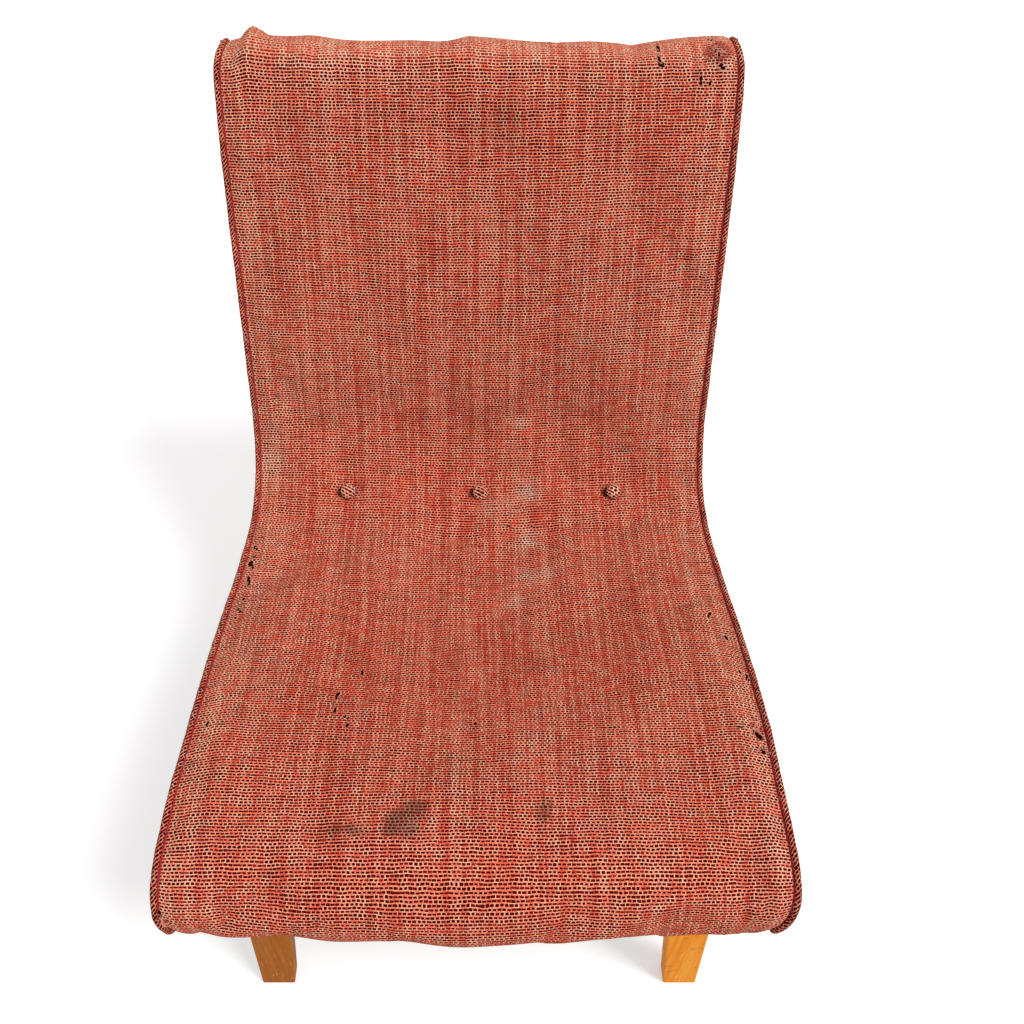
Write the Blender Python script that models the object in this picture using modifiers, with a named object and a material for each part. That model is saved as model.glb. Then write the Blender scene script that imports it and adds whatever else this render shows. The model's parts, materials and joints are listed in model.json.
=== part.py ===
"""Armless lounge chair: one continuous padded seat and back, a sagging woven cover, tapered wooden legs.

X is across the chair, the sitter faces -Y, and Z is up from the floor.
Left and right are as seen from in front.
"""

import math

import bmesh
import bpy
from mathutils import Matrix, Vector

# Clearance between neighbouring solids
GAP = 0.0003

# Widths over the piping, which narrow behind the middle of the seat
SEAT_WIDTH = 0.600
BACK_WIDTH = 0.578
TAPER_START_Y = -0.095
TAPER_END_Y = 0.155
TAPER_SLICES = 5

# Side profile of the upholstery, walked from under the nose, over the seat and up the back
NOSE_START_Y = -0.354
UNDERSIDE_Z = 0.2825
UNDERSIDE_FALL = 4.7
NOSE_LOWER_RADIUS = 0.050
NOSE_FRONT_RADIUS = 0.045
NOSE_TOP_RADIUS = 0.090
NOSE_TOP_TURN = 24.0
FRONT_FLAT_LENGTH = 0.011
SEAT_FALL_LENGTH = 0.200
SEAT_FALL_TURN = 12.5
SEAT_FLAT_LENGTH = 0.060
SEAT_RISE_LENGTH = 0.160
SEAT_RISE_TURN = 14.5
CREASE_LENGTH = 0.158
CREASE_TURN = 70.0
BACK_LENGTH = 0.250
SHOULDER_LENGTH = 0.148
SHOULDER_TURN = 8.0
BACK_THICKNESS = 0.078
SEGMENT_STEPS = (4, 4, 2, 1, 4, 2, 4, 8, 4, 4, 8, 4, 2)

# Sag of the cover and of the springs below it, measured from the line of the piping
NOSE_BULGE = 0.0075
CREST_BULGE = 0.004
SEAT_SAG = 0.025
REAR_SEAT_SAG = 0.016
CREASE_SAG = 0.008
BACK_SAG = 0.005
SPRING_SAG = 0.024
BACK_SPRING_SAG = 0.003
SAG_SHARE = 0.86
FRONT_SAG_SHARE = 0.85
EDGE_ROLL = 0.004
EDGE_ROLL_SHARE = 0.93

# Upholstery layers, counted inwards from the cover's face
COVER_THICKNESS = 0.002
PAD_TOP = 0.0028
PAD_BOTTOM = 0.0314
HESSIAN_TOP = 0.0318
HESSIAN_BOTTOM = 0.0328
BENCH = 0.0332
PIPING_RADIUS = 0.004
PIPING_DEPTH = 0.003
PIPING_END_ROOM = 0.0012
BORDER_INSET = 0.001
BORDER_THICKNESS = 0.002
DUST_COVER_THICKNESS = 0.0012
LEG_OPENING_ROOM = 0.0015

# Wooden frame
RAIL_THICKNESS = 0.032
FRONT_RAIL_THICKNESS = 0.0205
FRONT_RAIL_CHAMFER = 0.003
REAR_RAIL_THICKNESS = 0.022
REAR_RAIL_Y = 0.1253
RAIL_FLOOR = 0.0023
TOP_RAIL_HEIGHT = 0.050
TOP_RAIL_DROP = 0.010
LOWER_RAIL_HEIGHT = 0.045
LOWER_RAIL_THICKNESS = 0.022
RAIL_EDGE = 0.0012
BLOCK_HEIGHT = 0.032
BLOCK_LENGTH = 0.045

# Legs
LEG_SETBACK = 0.0028
LEG_FOOT_INSET = 0.038
LEG_FOOT_WIDTH = 0.039
LEG_OUTER_SPLAY = 3.8
LEG_INNER_TAPER = 5.9
LEG_TOP_DEPTH = 0.028
LEG_FOOT_DEPTH = 0.022
LEG_EDGE = 0.0018
FRONT_LEG_TOP = 0.330
REAR_LEG_TOP = 0.295
REAR_LEG_BEND_Z = 0.235
REAR_LEG_SWEEP = 0.058
REAR_LEG_WIDTH = 0.036
REAR_LEG_INSET = 0.053
SWEEP_POWER = 1.5
SWEEP_STEPS = 6

# Leg bolts
BOLT_RADIUS = 0.003
BOLT_HEAD_RADIUS = 0.0065
BOLT_HEAD_HEIGHT = 0.0035
BOLT_BITE = 0.014
BOLT_SIDES = 8
FRONT_BOLT_HEIGHTS = (0.300, 0.320)
REAR_BOLT_HEIGHTS = (0.262, 0.284)
BOLT_CROWN = ((0.0, 1.0), (0.7, 0.8), (1.0, 0.0))

# Sinuous springs and their clips
WIRE_RADIUS = 0.0018
WIRE_DEPTH = 0.0368
LOOP_REACH = 0.025
END_BAR_REACH = 0.018
SEAT_LOOP_PITCH = 0.029
BACK_LOOP_PITCH = 0.027
LOOP_SHAPE = ((0.2, 0.85), (0.5, 1.0), (0.8, 0.85))
SEAT_SPRINGS = 4
SEAT_SPRING_ROOM = 0.090
BACK_SPRINGS = 3
BACK_SPRING_ROOM = 0.159
CLIP_THICKNESS = 0.0012
CLIP_WIDTH = 0.014
CLIP_TAIL = 0.008
CLIP_WRAP = 250.0
CLIP_ARC_STEPS = 6
FRONT_CLIP_SHARE = 0.78

# Covered buttons in the crease
BUTTON_RADIUS = 0.010
BUTTON_FOOT_RADIUS = 0.0085
BUTTON_HEIGHT = 0.006
BUTTON_RIM_SHARE = 0.35
BUTTON_DOME_ANGLES = (30, 55, 75, 90)
BUTTON_SPACING = 0.170
BUTTON_TURN = 26.0
BUTTON_PULL = 0.0035
BUTTON_PULL_SPREAD = 0.016
BUTTON_SEAT = 0.0019
BUTTON_SIDES = 18

# Piping reaches the cover's edge, and the layers under it stop short of the piping
COVER_EDGE_INSET = 2 * PIPING_RADIUS + GAP
PAD_EDGE_INSET = COVER_EDGE_INSET + GAP
FRAME_INSET = BORDER_INSET + BORDER_THICKNESS + GAP
RAIL_TOP_DEPTH = WIRE_DEPTH + WIRE_RADIUS + GAP + CLIP_THICKNESS + GAP
POST_REAR_DEPTH = BACK_THICKNESS - COVER_THICKNESS - GAP
LEG_FRONT_Y = NOSE_START_Y + LEG_SETBACK
LEG_FOOT_OUTER_X = SEAT_WIDTH / 2 - LEG_FOOT_INSET
LEG_FOOT_INNER_X = LEG_FOOT_OUTER_X - LEG_FOOT_WIDTH
REAR_LEG_X = BACK_WIDTH / 2 - REAR_LEG_INSET - REAR_LEG_WIDTH / 2

# Mesh work: what counts as one point, as a sharp edge and as close enough
WELD_DISTANCE = 0.00001
SHARP_EDGE = 40.0
BEVELLED_EDGE = 35.0
SEARCH_STEPS = 40


def scene_collection(name, hidden=False):
    collection = bpy.data.collections.new(name)
    bpy.context.scene.collection.children.link(collection)
    collection.hide_render = hidden
    return collection


for old_object in list(bpy.data.objects):
    bpy.data.objects.remove(old_object)

CHAIR = scene_collection("sagging_armless_lounge_chair")
CUTTERS = scene_collection("cutters", hidden=True)


def finish(name, colour, roughness, metallic=0.0):
    material = bpy.data.materials.new(name)
    material.use_nodes = True
    shader = material.node_tree.nodes["Principled BSDF"]
    shader.inputs["Base Color"].default_value = (*colour, 1.0)
    shader.inputs["Roughness"].default_value = roughness
    shader.inputs["Metallic"].default_value = metallic
    return material


CLOTH = finish("woven_cloth", (0.55, 0.13, 0.08), 0.95)
WELT = finish("welt_cloth", (0.42, 0.09, 0.06), 0.95)
BACK_CLOTH = finish("plain_back_cloth", (0.45, 0.11, 0.07), 0.95)
BLOND_WOOD = finish("blond_leg_wood", (0.62, 0.33, 0.12), 0.42)
FRAME_WOOD = finish("frame_wood", (0.50, 0.36, 0.22), 0.75)
PADDING = finish("padding", (0.72, 0.66, 0.54), 1.0)
HESSIAN = finish("hessian", (0.42, 0.30, 0.17), 1.0)
LINING = finish("dust_cover_cloth", (0.06, 0.055, 0.05), 1.0)
STEEL = finish("spring_steel", (0.30, 0.29, 0.28), 0.38, 1.0)


def arc_length(radius, degrees):
    return radius * math.radians(degrees)


def underside(y):
    """Height of the chair's flat underside at y."""
    return UNDERSIDE_Z - (y - NOSE_START_Y) * math.tan(math.radians(UNDERSIDE_FALL))


def walked(start, segments, s):
    """Point and heading after walking s along arcs of (length, turn in degrees), from a start facing -Y."""
    y, z = start
    heading = math.pi
    for length, turn in segments:
        step = min(s, length)
        bend = math.radians(turn) / length
        if turn:
            y += (math.sin(heading + bend * step) - math.sin(heading)) / bend
            z -= (math.cos(heading + bend * step) - math.cos(heading)) / bend
        else:
            y += step * math.cos(heading)
            z += step * math.sin(heading)
        heading += bend * step
        s -= step
        if s <= 0:
            break
    return y, z, heading


def inward(point, depth):
    y, z, heading = point
    return y + depth * math.sin(heading), z - depth * math.cos(heading)


FRONT_SEGMENTS = (
    (arc_length(NOSE_LOWER_RADIUS, 90), -90.0),
    (arc_length(NOSE_FRONT_RADIUS, 90 - NOSE_TOP_TURN), NOSE_TOP_TURN - 90),
    (arc_length(NOSE_TOP_RADIUS, NOSE_TOP_TURN), -NOSE_TOP_TURN),
    (FRONT_FLAT_LENGTH, 0.0),
    (SEAT_FALL_LENGTH, -SEAT_FALL_TURN),
    (SEAT_FLAT_LENGTH, 0.0),
    (SEAT_RISE_LENGTH, SEAT_RISE_TURN),
    (CREASE_LENGTH, CREASE_TURN),
    (BACK_LENGTH, 0.0),
    (SHOULDER_LENGTH, -SHOULDER_TURN),
    (arc_length(BACK_THICKNESS / 2, 180), -180.0),
)
START = (NOSE_START_Y, UNDERSIDE_Z)
BACK_FOOT_S = sum(length for length, _ in FRONT_SEGMENTS[:8])


def rear_drop():
    """Length of the rear face below the foot of the back, down to the underside."""
    y, z, heading = walked(START, FRONT_SEGMENTS, BACK_FOOT_S)
    rear_y, rear_z = inward((y, z, heading), BACK_THICKNESS)
    fall = math.tan(math.radians(UNDERSIDE_FALL))
    return (rear_z - underside(rear_y)) / (math.sin(heading) + fall * math.cos(heading))


SEGMENTS = FRONT_SEGMENTS + (
    (SHOULDER_LENGTH - arc_length(BACK_THICKNESS, SHOULDER_TURN), SHOULDER_TURN),
    (BACK_LENGTH + rear_drop(), 0.0),
)
KNOTS = [sum(length for length, _ in SEGMENTS[:count]) for count in range(len(SEGMENTS) + 1)]
UNDER_S, FOREMOST_S, _, CREST_S, SEAT_S, SEAT_FLAT_S, SEAT_RISE_S, CREASE_S = KNOTS[:8]
ROLL_S, REAR_S, _, END_S = KNOTS[10:]


def profile(s):
    return walked(START, SEGMENTS, s)


def inset(s, depth):
    """Point of the side profile at s, moved in by depth."""
    return inward(profile(s), depth)


def stations(first, last):
    """Arc lengths along the segments first to last, with each segment's own steps."""
    lengths = [KNOTS[first]]
    for index in range(first, last + 1):
        steps = SEGMENT_STEPS[index]
        lengths += [KNOTS[index] + SEGMENTS[index][0] * step / steps for step in range(1, steps + 1)]
    return lengths


def station_at(y, depth, low, high):
    """Arc length between low and high where the profile, moved in by depth, reaches y."""
    for _ in range(SEARCH_STEPS):
        middle = (low + high) / 2
        if inset(middle, depth)[0] < y:
            low = middle
        else:
            high = middle
    return low


def smooth(t):
    t = min(1.0, max(0.0, t))
    return t * t * (3 - 2 * t)


def taper_stations():
    run = TAPER_END_Y - TAPER_START_Y
    return [TAPER_START_Y + run * step / TAPER_SLICES for step in range(TAPER_SLICES + 1)]


def half_width(y):
    taper = smooth((y - TAPER_START_Y) / (TAPER_END_Y - TAPER_START_Y))
    return (SEAT_WIDTH + (BACK_WIDTH - SEAT_WIDTH) * taper) / 2


def keyed(keys, s):
    """Value at s, eased between the (s, value) keys."""
    if s <= keys[0][0]:
        return keys[0][1]
    for (s0, value0), (s1, value1) in zip(keys, keys[1:]):
        if s <= s1:
            return value0 + (value1 - value0) * smooth((s - s0) / (s1 - s0))
    return keys[-1][1]


def dish(u):
    """1 in the middle of the seat and 0 over the side rails."""
    return (1 - min(1.0, abs(u) / SAG_SHARE) ** 2) ** 2


def dish_between_columns(u):
    """The dish as the layers hold it: straight between their columns."""
    for left, right in zip(COLUMNS, COLUMNS[1:]):
        if left <= u <= right:
            t = (u - left) / (right - left)
            return dish(left) * (1 - t) + dish(right) * t
    return 0.0


BUTTON_S = CREASE_S + CREASE_LENGTH * BUTTON_TURN / CREASE_TURN
BUTTON_PLACES = (-BUTTON_SPACING, 0.0, BUTTON_SPACING)
BUTTON_U = BUTTON_SPACING / (half_width(profile(BUTTON_S)[0]) - COVER_EDGE_INSET)
COLUMNS = (-1.0, -0.96, -0.88, -BUTTON_U, -0.32, 0.0, 0.32, BUTTON_U, 0.88, 0.96, 1.0)
CROWN_KEYS = (
    (UNDER_S, 0.0),
    (FOREMOST_S, NOSE_BULGE),
    (CREST_S, CREST_BULGE),
    (SEAT_FLAT_S, -SEAT_SAG * FRONT_SAG_SHARE),
    (SEAT_RISE_S, -SEAT_SAG),
    (CREASE_S, -REAR_SEAT_SAG),
    (BUTTON_S, -CREASE_SAG),
    (BACK_FOOT_S + BACK_LENGTH / 2, -BACK_SAG),
    (ROLL_S, 0.0),
)
REAR_RAIL_REAR_Y = REAR_RAIL_Y + REAR_RAIL_THICKNESS
FRONT_CLIP_S = CREST_S - arc_length(NOSE_TOP_RADIUS, NOSE_TOP_TURN) * FRONT_CLIP_SHARE
REAR_CLIP_S = station_at(REAR_RAIL_Y + REAR_RAIL_THICKNESS / 2, RAIL_TOP_DEPTH, CREASE_S, BACK_FOOT_S)
LOWER_CLIP_S = BACK_FOOT_S + LOWER_RAIL_HEIGHT / 2
UPPER_CLIP_S = ROLL_S - TOP_RAIL_DROP - TOP_RAIL_HEIGHT / 2


def button_pull(u, s):
    """How far the buttons draw the cover in: all of it at a button, and next to nothing between them."""
    x = u * (half_width(profile(s)[0]) - COVER_EDGE_INSET)
    nearest = min(abs(x - place) for place in BUTTON_PLACES)
    return BUTTON_PULL * math.exp(-0.5 * (nearest**2 + (s - BUTTON_S) ** 2) / BUTTON_PULL_SPREAD**2)


def crown(u, s):
    """How far the cover stands proud of the piping line. Its edges roll down to the welt, but not behind."""
    edge = max(0.0, (abs(u) - EDGE_ROLL_SHARE) / (1 - EDGE_ROLL_SHARE))
    fade = smooth(s / FOREMOST_S) * (1 - smooth((s - ROLL_S) / (REAR_S - ROLL_S)))
    return keyed(CROWN_KEYS, s) * dish(u) - EDGE_ROLL * fade * edge**2 - button_pull(u, s)


def spring_hang(s):
    """How far the springs hang below their rails at s, in the middle of the chair."""
    if FRONT_CLIP_S < s < REAR_CLIP_S:
        return SPRING_SAG * math.sin(math.pi * (s - FRONT_CLIP_S) / (REAR_CLIP_S - FRONT_CLIP_S)) ** 2
    if LOWER_CLIP_S < s < UPPER_CLIP_S:
        return BACK_SPRING_SAG * math.sin(math.pi * (s - LOWER_CLIP_S) / (UPPER_CLIP_S - LOWER_CLIP_S)) ** 2
    return 0.0


def layer_point(u, s, depth, edge_inset):
    y, z = inset(s, depth)
    return Vector((u * (half_width(profile(s)[0]) - edge_inset), y, z))


def bench_point(u, s, depth, edge_inset):
    """A point of a pad's underside. Below the nose it lies on the front rail's upright face."""
    point = layer_point(u, s, depth, edge_inset)
    if s < FOREMOST_S:
        point.y = inset(FOREMOST_S, depth)[0]
        point.z = inset(s, PAD_TOP)[1]
    return point


def add_object(name, data, material, collection=CHAIR):
    obj = bpy.data.objects.new(name, data)
    collection.objects.link(obj)
    if material:
        data.materials.append(material)
    return obj


def mesh_object(name, bm, material, collection=CHAIR):
    bmesh.ops.recalc_face_normals(bm, faces=bm.faces)
    mesh = bpy.data.meshes.new(name)
    bm.to_mesh(mesh)
    bm.free()
    mesh.shade_smooth()
    mesh.set_sharp_from_angle(angle=math.radians(SHARP_EDGE))
    return add_object(name, mesh, material, collection)


def layer(name, lengths, outer, inner, material):
    """A closed sheet over the chair, between two surfaces that are functions of (u, s)."""
    bm = bmesh.new()
    across = len(COLUMNS) - 1
    along = len(lengths) - 1
    bmesh.ops.create_grid(bm, x_segments=across, y_segments=along, size=1)
    copied = bmesh.ops.extrude_face_region(bm, geom=bm.faces[:], use_keep_orig=True)
    inner_verts = {element for element in copied["geom"] if isinstance(element, bmesh.types.BMVert)}
    for vert in bm.verts:
        u = COLUMNS[round((vert.co.x + 1) / 2 * across)]
        s = lengths[round((vert.co.y + 1) / 2 * along)]
        vert.co = inner(u, s) if vert in inner_verts else outer(u, s)
    return mesh_object(name, bm, material)


def flat_outline(name, outlines, thickness, material):
    """A plate from closed outlines in its own XY plane. Outlines inside the first are holes."""
    curve = bpy.data.curves.new(name, "CURVE")
    curve.dimensions = "2D"
    curve.fill_mode = "BOTH"
    curve.extrude = thickness / 2
    for outline in outlines:
        spline = curve.splines.new("POLY")
        spline.points.add(len(outline) - 1)
        for point, (a, b) in zip(spline.points, outline):
            point.co = (a, b, 0.0, 1.0)
        spline.use_cyclic_u = True
    return add_object(name, curve, material)


def rounded(obj, width, segments=2):
    weld = obj.modifiers.new("weld", "WELD")
    weld.merge_threshold = WELD_DISTANCE
    bevel = obj.modifiers.new("rounded_edges", "BEVEL")
    bevel.width = width
    bevel.segments = segments
    bevel.limit_method = "ANGLE"
    bevel.angle_limit = math.radians(BEVELLED_EDGE)
    return obj


def plank(name, outline, x, thickness, material, edge=RAIL_EDGE):
    """A board sawn to an outline of (y, z) points, centred on x."""
    obj = flat_outline(name, (outline,), thickness, material)
    obj.matrix_world = Matrix(((0, 0, 1, x), (1, 0, 0, 0), (0, 1, 0, 0), (0, 0, 0, 1)))
    return rounded(obj, edge, 1) if edge else obj


def as_mesh(obj):
    """The object as a plain mesh in world space, under the same name."""
    bpy.context.view_layer.update()
    evaluated = obj.evaluated_get(bpy.context.evaluated_depsgraph_get())
    mesh = bpy.data.meshes.new_from_object(evaluated)
    mesh.transform(obj.matrix_world)
    bm = bmesh.new()
    bm.from_mesh(mesh)
    bmesh.ops.remove_doubles(bm, verts=bm.verts, dist=WELD_DISTANCE)
    name = obj.name
    material = mesh.materials[0]
    bpy.data.objects.remove(obj)
    bpy.data.meshes.remove(mesh)
    return mesh_object(name, bm, material)


def follow_width(obj, side):
    """Bends a straight board to the chair's width, by slicing it across and moving each slice."""
    solid = as_mesh(obj)
    bm = bmesh.new()
    bm.from_mesh(solid.data)
    for y in taper_stations():
        geometry = bm.verts[:] + bm.edges[:] + bm.faces[:]
        bmesh.ops.bisect_plane(bm, geom=geometry, plane_co=(0, y, 0), plane_no=(0, 1, 0))
    for vert in bm.verts:
        vert.co.x += side * (half_width(vert.co.y) - BACK_WIDTH / 2)
    bm.to_mesh(solid.data)
    bm.free()
    return solid


def tube(name, points, radius, material, resolution=1):
    curve = bpy.data.curves.new(name, "CURVE")
    curve.dimensions = "3D"
    curve.bevel_depth = radius
    curve.bevel_resolution = resolution
    curve.use_fill_caps = True
    spline = curve.splines.new("POLY")
    spline.points.add(len(points) - 1)
    for point, place in zip(spline.points, points):
        point.co = (*place, 1.0)
    return add_object(name, curve, material)


def turned(name, outline, sides, material):
    """A piece turned about its own Z axis, from an outline of (radius, height) points that runs down."""
    mesh = bpy.data.meshes.new(name)
    edges = [(index, index + 1) for index in range(len(outline) - 1)]
    mesh.from_pydata([(radius, 0.0, height) for radius, height in outline], edges, [])
    obj = add_object(name, mesh, material)
    screw = obj.modifiers.new("turned", "SCREW")
    screw.steps = sides
    screw.render_steps = sides
    screw.use_merge_vertices = True
    screw.merge_threshold = WELD_DISTANCE
    screw.use_smooth_shade = True
    return obj


def cut(target, cutter):
    boolean = target.modifiers.new("hole", "BOOLEAN")
    boolean.operation = "DIFFERENCE"
    boolean.object = cutter


SIDES = (("left", -1), ("right", 1))
LEG_REAR_Y = LEG_FRONT_Y + LEG_TOP_DEPTH
FRONT_RAIL_REAR_Y = LEG_FRONT_Y - GAP
FRONT_RAIL_Y = FRONT_RAIL_REAR_Y - FRONT_RAIL_THICKNESS
REAR_LEG_Y = REAR_RAIL_REAR_Y + GAP
FRONT_REACH = half_width(FRONT_RAIL_Y) - PAD_EDGE_INSET
FRONT_SPAN = half_width(FRONT_RAIL_Y) - FRAME_INSET - RAIL_THICKNESS - GAP
REAR_SPAN = half_width(REAR_RAIL_REAR_Y) - FRAME_INSET - RAIL_THICKNESS - GAP
BACK_SPAN = BACK_WIDTH / 2 - FRAME_INSET - RAIL_THICKNESS - GAP


def back_line(t, depth):
    """Point at distance t up the back from its foot, moved in by depth. Below that it runs straight on."""
    if t >= 0:
        return inset(BACK_FOOT_S + t, depth)
    y, z, heading = profile(BACK_FOOT_S)
    return inward((y + t * math.cos(heading), z + t * math.sin(heading), heading), depth)


def back_line_down_to(depth):
    """Where the back's line, moved in by depth, meets the underside of the frame."""
    foot_y, foot_z, heading = (*back_line(0.0, depth), profile(BACK_FOOT_S)[2])
    fall = math.tan(math.radians(UNDERSIDE_FALL))
    run = (foot_z - underside(foot_y) - RAIL_FLOOR) / (math.sin(heading) + fall * math.cos(heading))
    return foot_y - run * math.cos(heading), foot_z - run * math.sin(heading)


def back_line_y(depth, z):
    """How far back the straight foot of the back lies at the height z."""
    foot_y, foot_z = back_line(0.0, depth)
    return foot_y + (z - foot_z) / math.tan(profile(BACK_FOOT_S)[2])


def make_back_posts():
    top = UPPER_CLIP_S + TOP_RAIL_HEIGHT / 2 - BACK_FOOT_S
    bends = [t for t in (s - BACK_FOOT_S for s in stations(8, 9)) if t < top] + [top]
    outline = [back_line_down_to(BENCH)] + [back_line(t, BENCH) for t in bends]
    outline += [back_line(t, POST_REAR_DEPTH) for t in reversed(bends)] + [back_line_down_to(POST_REAR_DEPTH)]
    for side_name, side in SIDES:
        x = side * (BACK_WIDTH / 2 - FRAME_INSET - RAIL_THICKNESS / 2)
        plank(f"back_post_{side_name}", outline, x, RAIL_THICKNESS, FRAME_WOOD)


def make_side_rails():
    """Each side rail follows the seat above it, and butts on the post behind it."""
    front_y = FRONT_RAIL_REAR_Y + GAP
    front_s = station_at(front_y, BENCH, FOREMOST_S, SEAT_S)
    curve = [front_s] + [s for s in stations(2, 7) if front_s < s < REAR_CLIP_S] + [REAR_CLIP_S]
    outline = [(front_y, underside(front_y) + RAIL_FLOOR)] + [inset(s, BENCH) for s in curve]
    rear_z = outline[-1][1]
    rear_bottom_y, rear_bottom_z = back_line_down_to(BENCH)
    outline += [(back_line_y(BENCH, rear_z) - GAP, rear_z), (rear_bottom_y - GAP, rear_bottom_z)]
    for side_name, side in SIDES:
        x = side * (BACK_WIDTH / 2 - FRAME_INSET - RAIL_THICKNESS / 2)
        follow_width(plank(f"side_rail_{side_name}", outline, x, RAIL_THICKNESS, FRAME_WOOD, 0), side)


def rail_top(clip_s, y):
    """Height at y of a seat rail's top, which is planed to lie along the springs at their clips."""
    clip_y, clip_z = inset(clip_s, RAIL_TOP_DEPTH)
    return clip_z + (y - clip_y) * math.tan(profile(clip_s)[2])


def make_cross_rails():
    floor = underside(FRONT_RAIL_Y) + 2 * RAIL_FLOOR
    front = (
        (FRONT_RAIL_Y + FRONT_RAIL_CHAMFER, floor),
        (FRONT_RAIL_Y, floor + FRONT_RAIL_CHAMFER),
        (FRONT_RAIL_Y, rail_top(FRONT_CLIP_S, FRONT_RAIL_Y)),
        (FRONT_RAIL_REAR_Y, rail_top(FRONT_CLIP_S, FRONT_RAIL_REAR_Y)),
        (FRONT_RAIL_REAR_Y, floor),
    )
    as_mesh(plank("front_rail", front, 0.0, 2 * FRONT_REACH, FRAME_WOOD))
    rear = (
        (REAR_RAIL_Y, underside(REAR_RAIL_Y) + RAIL_FLOOR),
        (REAR_RAIL_Y, rail_top(REAR_CLIP_S, REAR_RAIL_Y)),
        (REAR_RAIL_REAR_Y, rail_top(REAR_CLIP_S, REAR_RAIL_REAR_Y)),
        (REAR_RAIL_REAR_Y, underside(REAR_RAIL_REAR_Y) + RAIL_FLOOR),
    )
    as_mesh(plank("rear_rail", rear, 0.0, 2 * REAR_SPAN, FRAME_WOOD))
    for name, middle, height, rear_depth in (
        ("lower_back_rail", LOWER_CLIP_S, LOWER_RAIL_HEIGHT, RAIL_TOP_DEPTH + LOWER_RAIL_THICKNESS),
        ("top_rail", UPPER_CLIP_S, TOP_RAIL_HEIGHT, POST_REAR_DEPTH),
    ):
        ends = (middle - height / 2, middle + height / 2)
        section = [inset(s, RAIL_TOP_DEPTH) for s in ends] + [inset(s, rear_depth) for s in reversed(ends)]
        plank(name, section, 0.0, 2 * BACK_SPAN, FRAME_WOOD)


def make_corner_blocks():
    """Glue blocks: one beside each front leg, and a triangular one in each rear corner."""
    for side_name, side in SIDES:
        outer_x = FRONT_SPAN
        inner_x = leg_outer_x(FRONT_LEG_TOP - BLOCK_HEIGHT) + GAP + LEG_EDGE / 2
        front = (
            (side * inner_x, LEG_FRONT_Y),
            (side * outer_x, LEG_FRONT_Y),
            (side * outer_x, LEG_FRONT_Y + BLOCK_LENGTH),
            (side * inner_x, LEG_FRONT_Y + BLOCK_LENGTH - (outer_x - inner_x)),
        )
        block = flat_outline(f"corner_block_front_{side_name}", (front,), BLOCK_HEIGHT, FRAME_WOOD)
        block.location.z = FRONT_LEG_TOP - BLOCK_HEIGHT / 2
        rear_y = REAR_RAIL_Y - GAP
        narrowest = min(half_width(rear_y), half_width(rear_y - BLOCK_LENGTH))
        rear_x = narrowest - FRAME_INSET - RAIL_THICKNESS - 2 * GAP
        rear = (
            (side * rear_x, rear_y),
            (side * (rear_x - BLOCK_LENGTH), rear_y),
            (side * rear_x, rear_y - BLOCK_LENGTH),
        )
        block = flat_outline(f"corner_block_rear_{side_name}", (rear,), BLOCK_HEIGHT, FRAME_WOOD)
        block.location.z = underside(rear_y - BLOCK_LENGTH) + RAIL_FLOOR + BLOCK_HEIGHT / 2


def leg_outer_x(z):
    return LEG_FOOT_OUTER_X - z * math.tan(math.radians(LEG_OUTER_SPLAY))


def leg_inner_x(z):
    return LEG_FOOT_INNER_X - z * math.tan(math.radians(LEG_INNER_TAPER))


def make_front_legs():
    for side_name, side in SIDES:
        bm = bmesh.new()
        bmesh.ops.create_cube(bm, size=1)
        for vert in bm.verts:
            z = FRONT_LEG_TOP if vert.co.z > 0 else 0.0
            depth = LEG_TOP_DEPTH if vert.co.z > 0 else LEG_FOOT_DEPTH
            outer = vert.co.x * side > 0
            x = side * (leg_outer_x(z) if outer else leg_inner_x(z))
            vert.co = (x, LEG_FRONT_Y + (depth if vert.co.y > 0 else 0.0), z)
        leg = mesh_object(f"front_leg_{side_name}", bm, BLOND_WOOD)
        rounded(leg, LEG_EDGE)


def make_rear_legs():
    """Sabre legs, straight where they are bolted on and swept back below."""
    outline = []
    for rear in (False, True):
        edge = []
        for step in range(SWEEP_STEPS + 1):
            t = step / SWEEP_STEPS
            depth = LEG_TOP_DEPTH + (LEG_FOOT_DEPTH - LEG_TOP_DEPTH) * t
            y = REAR_LEG_Y + REAR_LEG_SWEEP * t**SWEEP_POWER + (depth if rear else 0.0)
            edge.append((y, REAR_LEG_BEND_Z * (1 - t)))
        edge.insert(0, (REAR_LEG_Y + (LEG_TOP_DEPTH if rear else 0.0), REAR_LEG_TOP))
        outline += edge if rear else edge[::-1]
    for side_name, side in SIDES:
        name = f"rear_leg_{side_name}"
        as_mesh(plank(name, outline, side * REAR_LEG_X, REAR_LEG_WIDTH, BLOND_WOOD, LEG_EDGE))


def make_bolt(name, head_place, length, leg, rail):
    """A round-headed bolt that runs forward from the back of a leg into the rail before it."""
    outline = [(BOLT_HEAD_RADIUS * across, BOLT_HEAD_HEIGHT * up) for across, up in BOLT_CROWN]
    outline += [(BOLT_RADIUS, 0.0), (BOLT_RADIUS, -length), (0.0, -length)]
    place = Matrix.Translation(head_place) @ Matrix.Rotation(math.radians(-90), 4, "X")
    bolt = turned(name, outline, BOLT_SIDES, STEEL)
    bolt.matrix_world = place
    bm = bmesh.new()
    bore = BOLT_RADIUS + GAP
    reach = length + 2 * GAP
    bmesh.ops.create_cone(
        bm, cap_ends=True, segments=BOLT_SIDES, radius1=bore, radius2=bore, depth=2 * reach
    )
    cutter = mesh_object(f"{name}_bore", bm, None, CUTTERS)
    cutter.matrix_world = place
    cutter.hide_render = True
    cutter.display_type = "WIRE"
    for wood in (leg, rail):
        cut(bpy.data.objects[wood], cutter)


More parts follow.
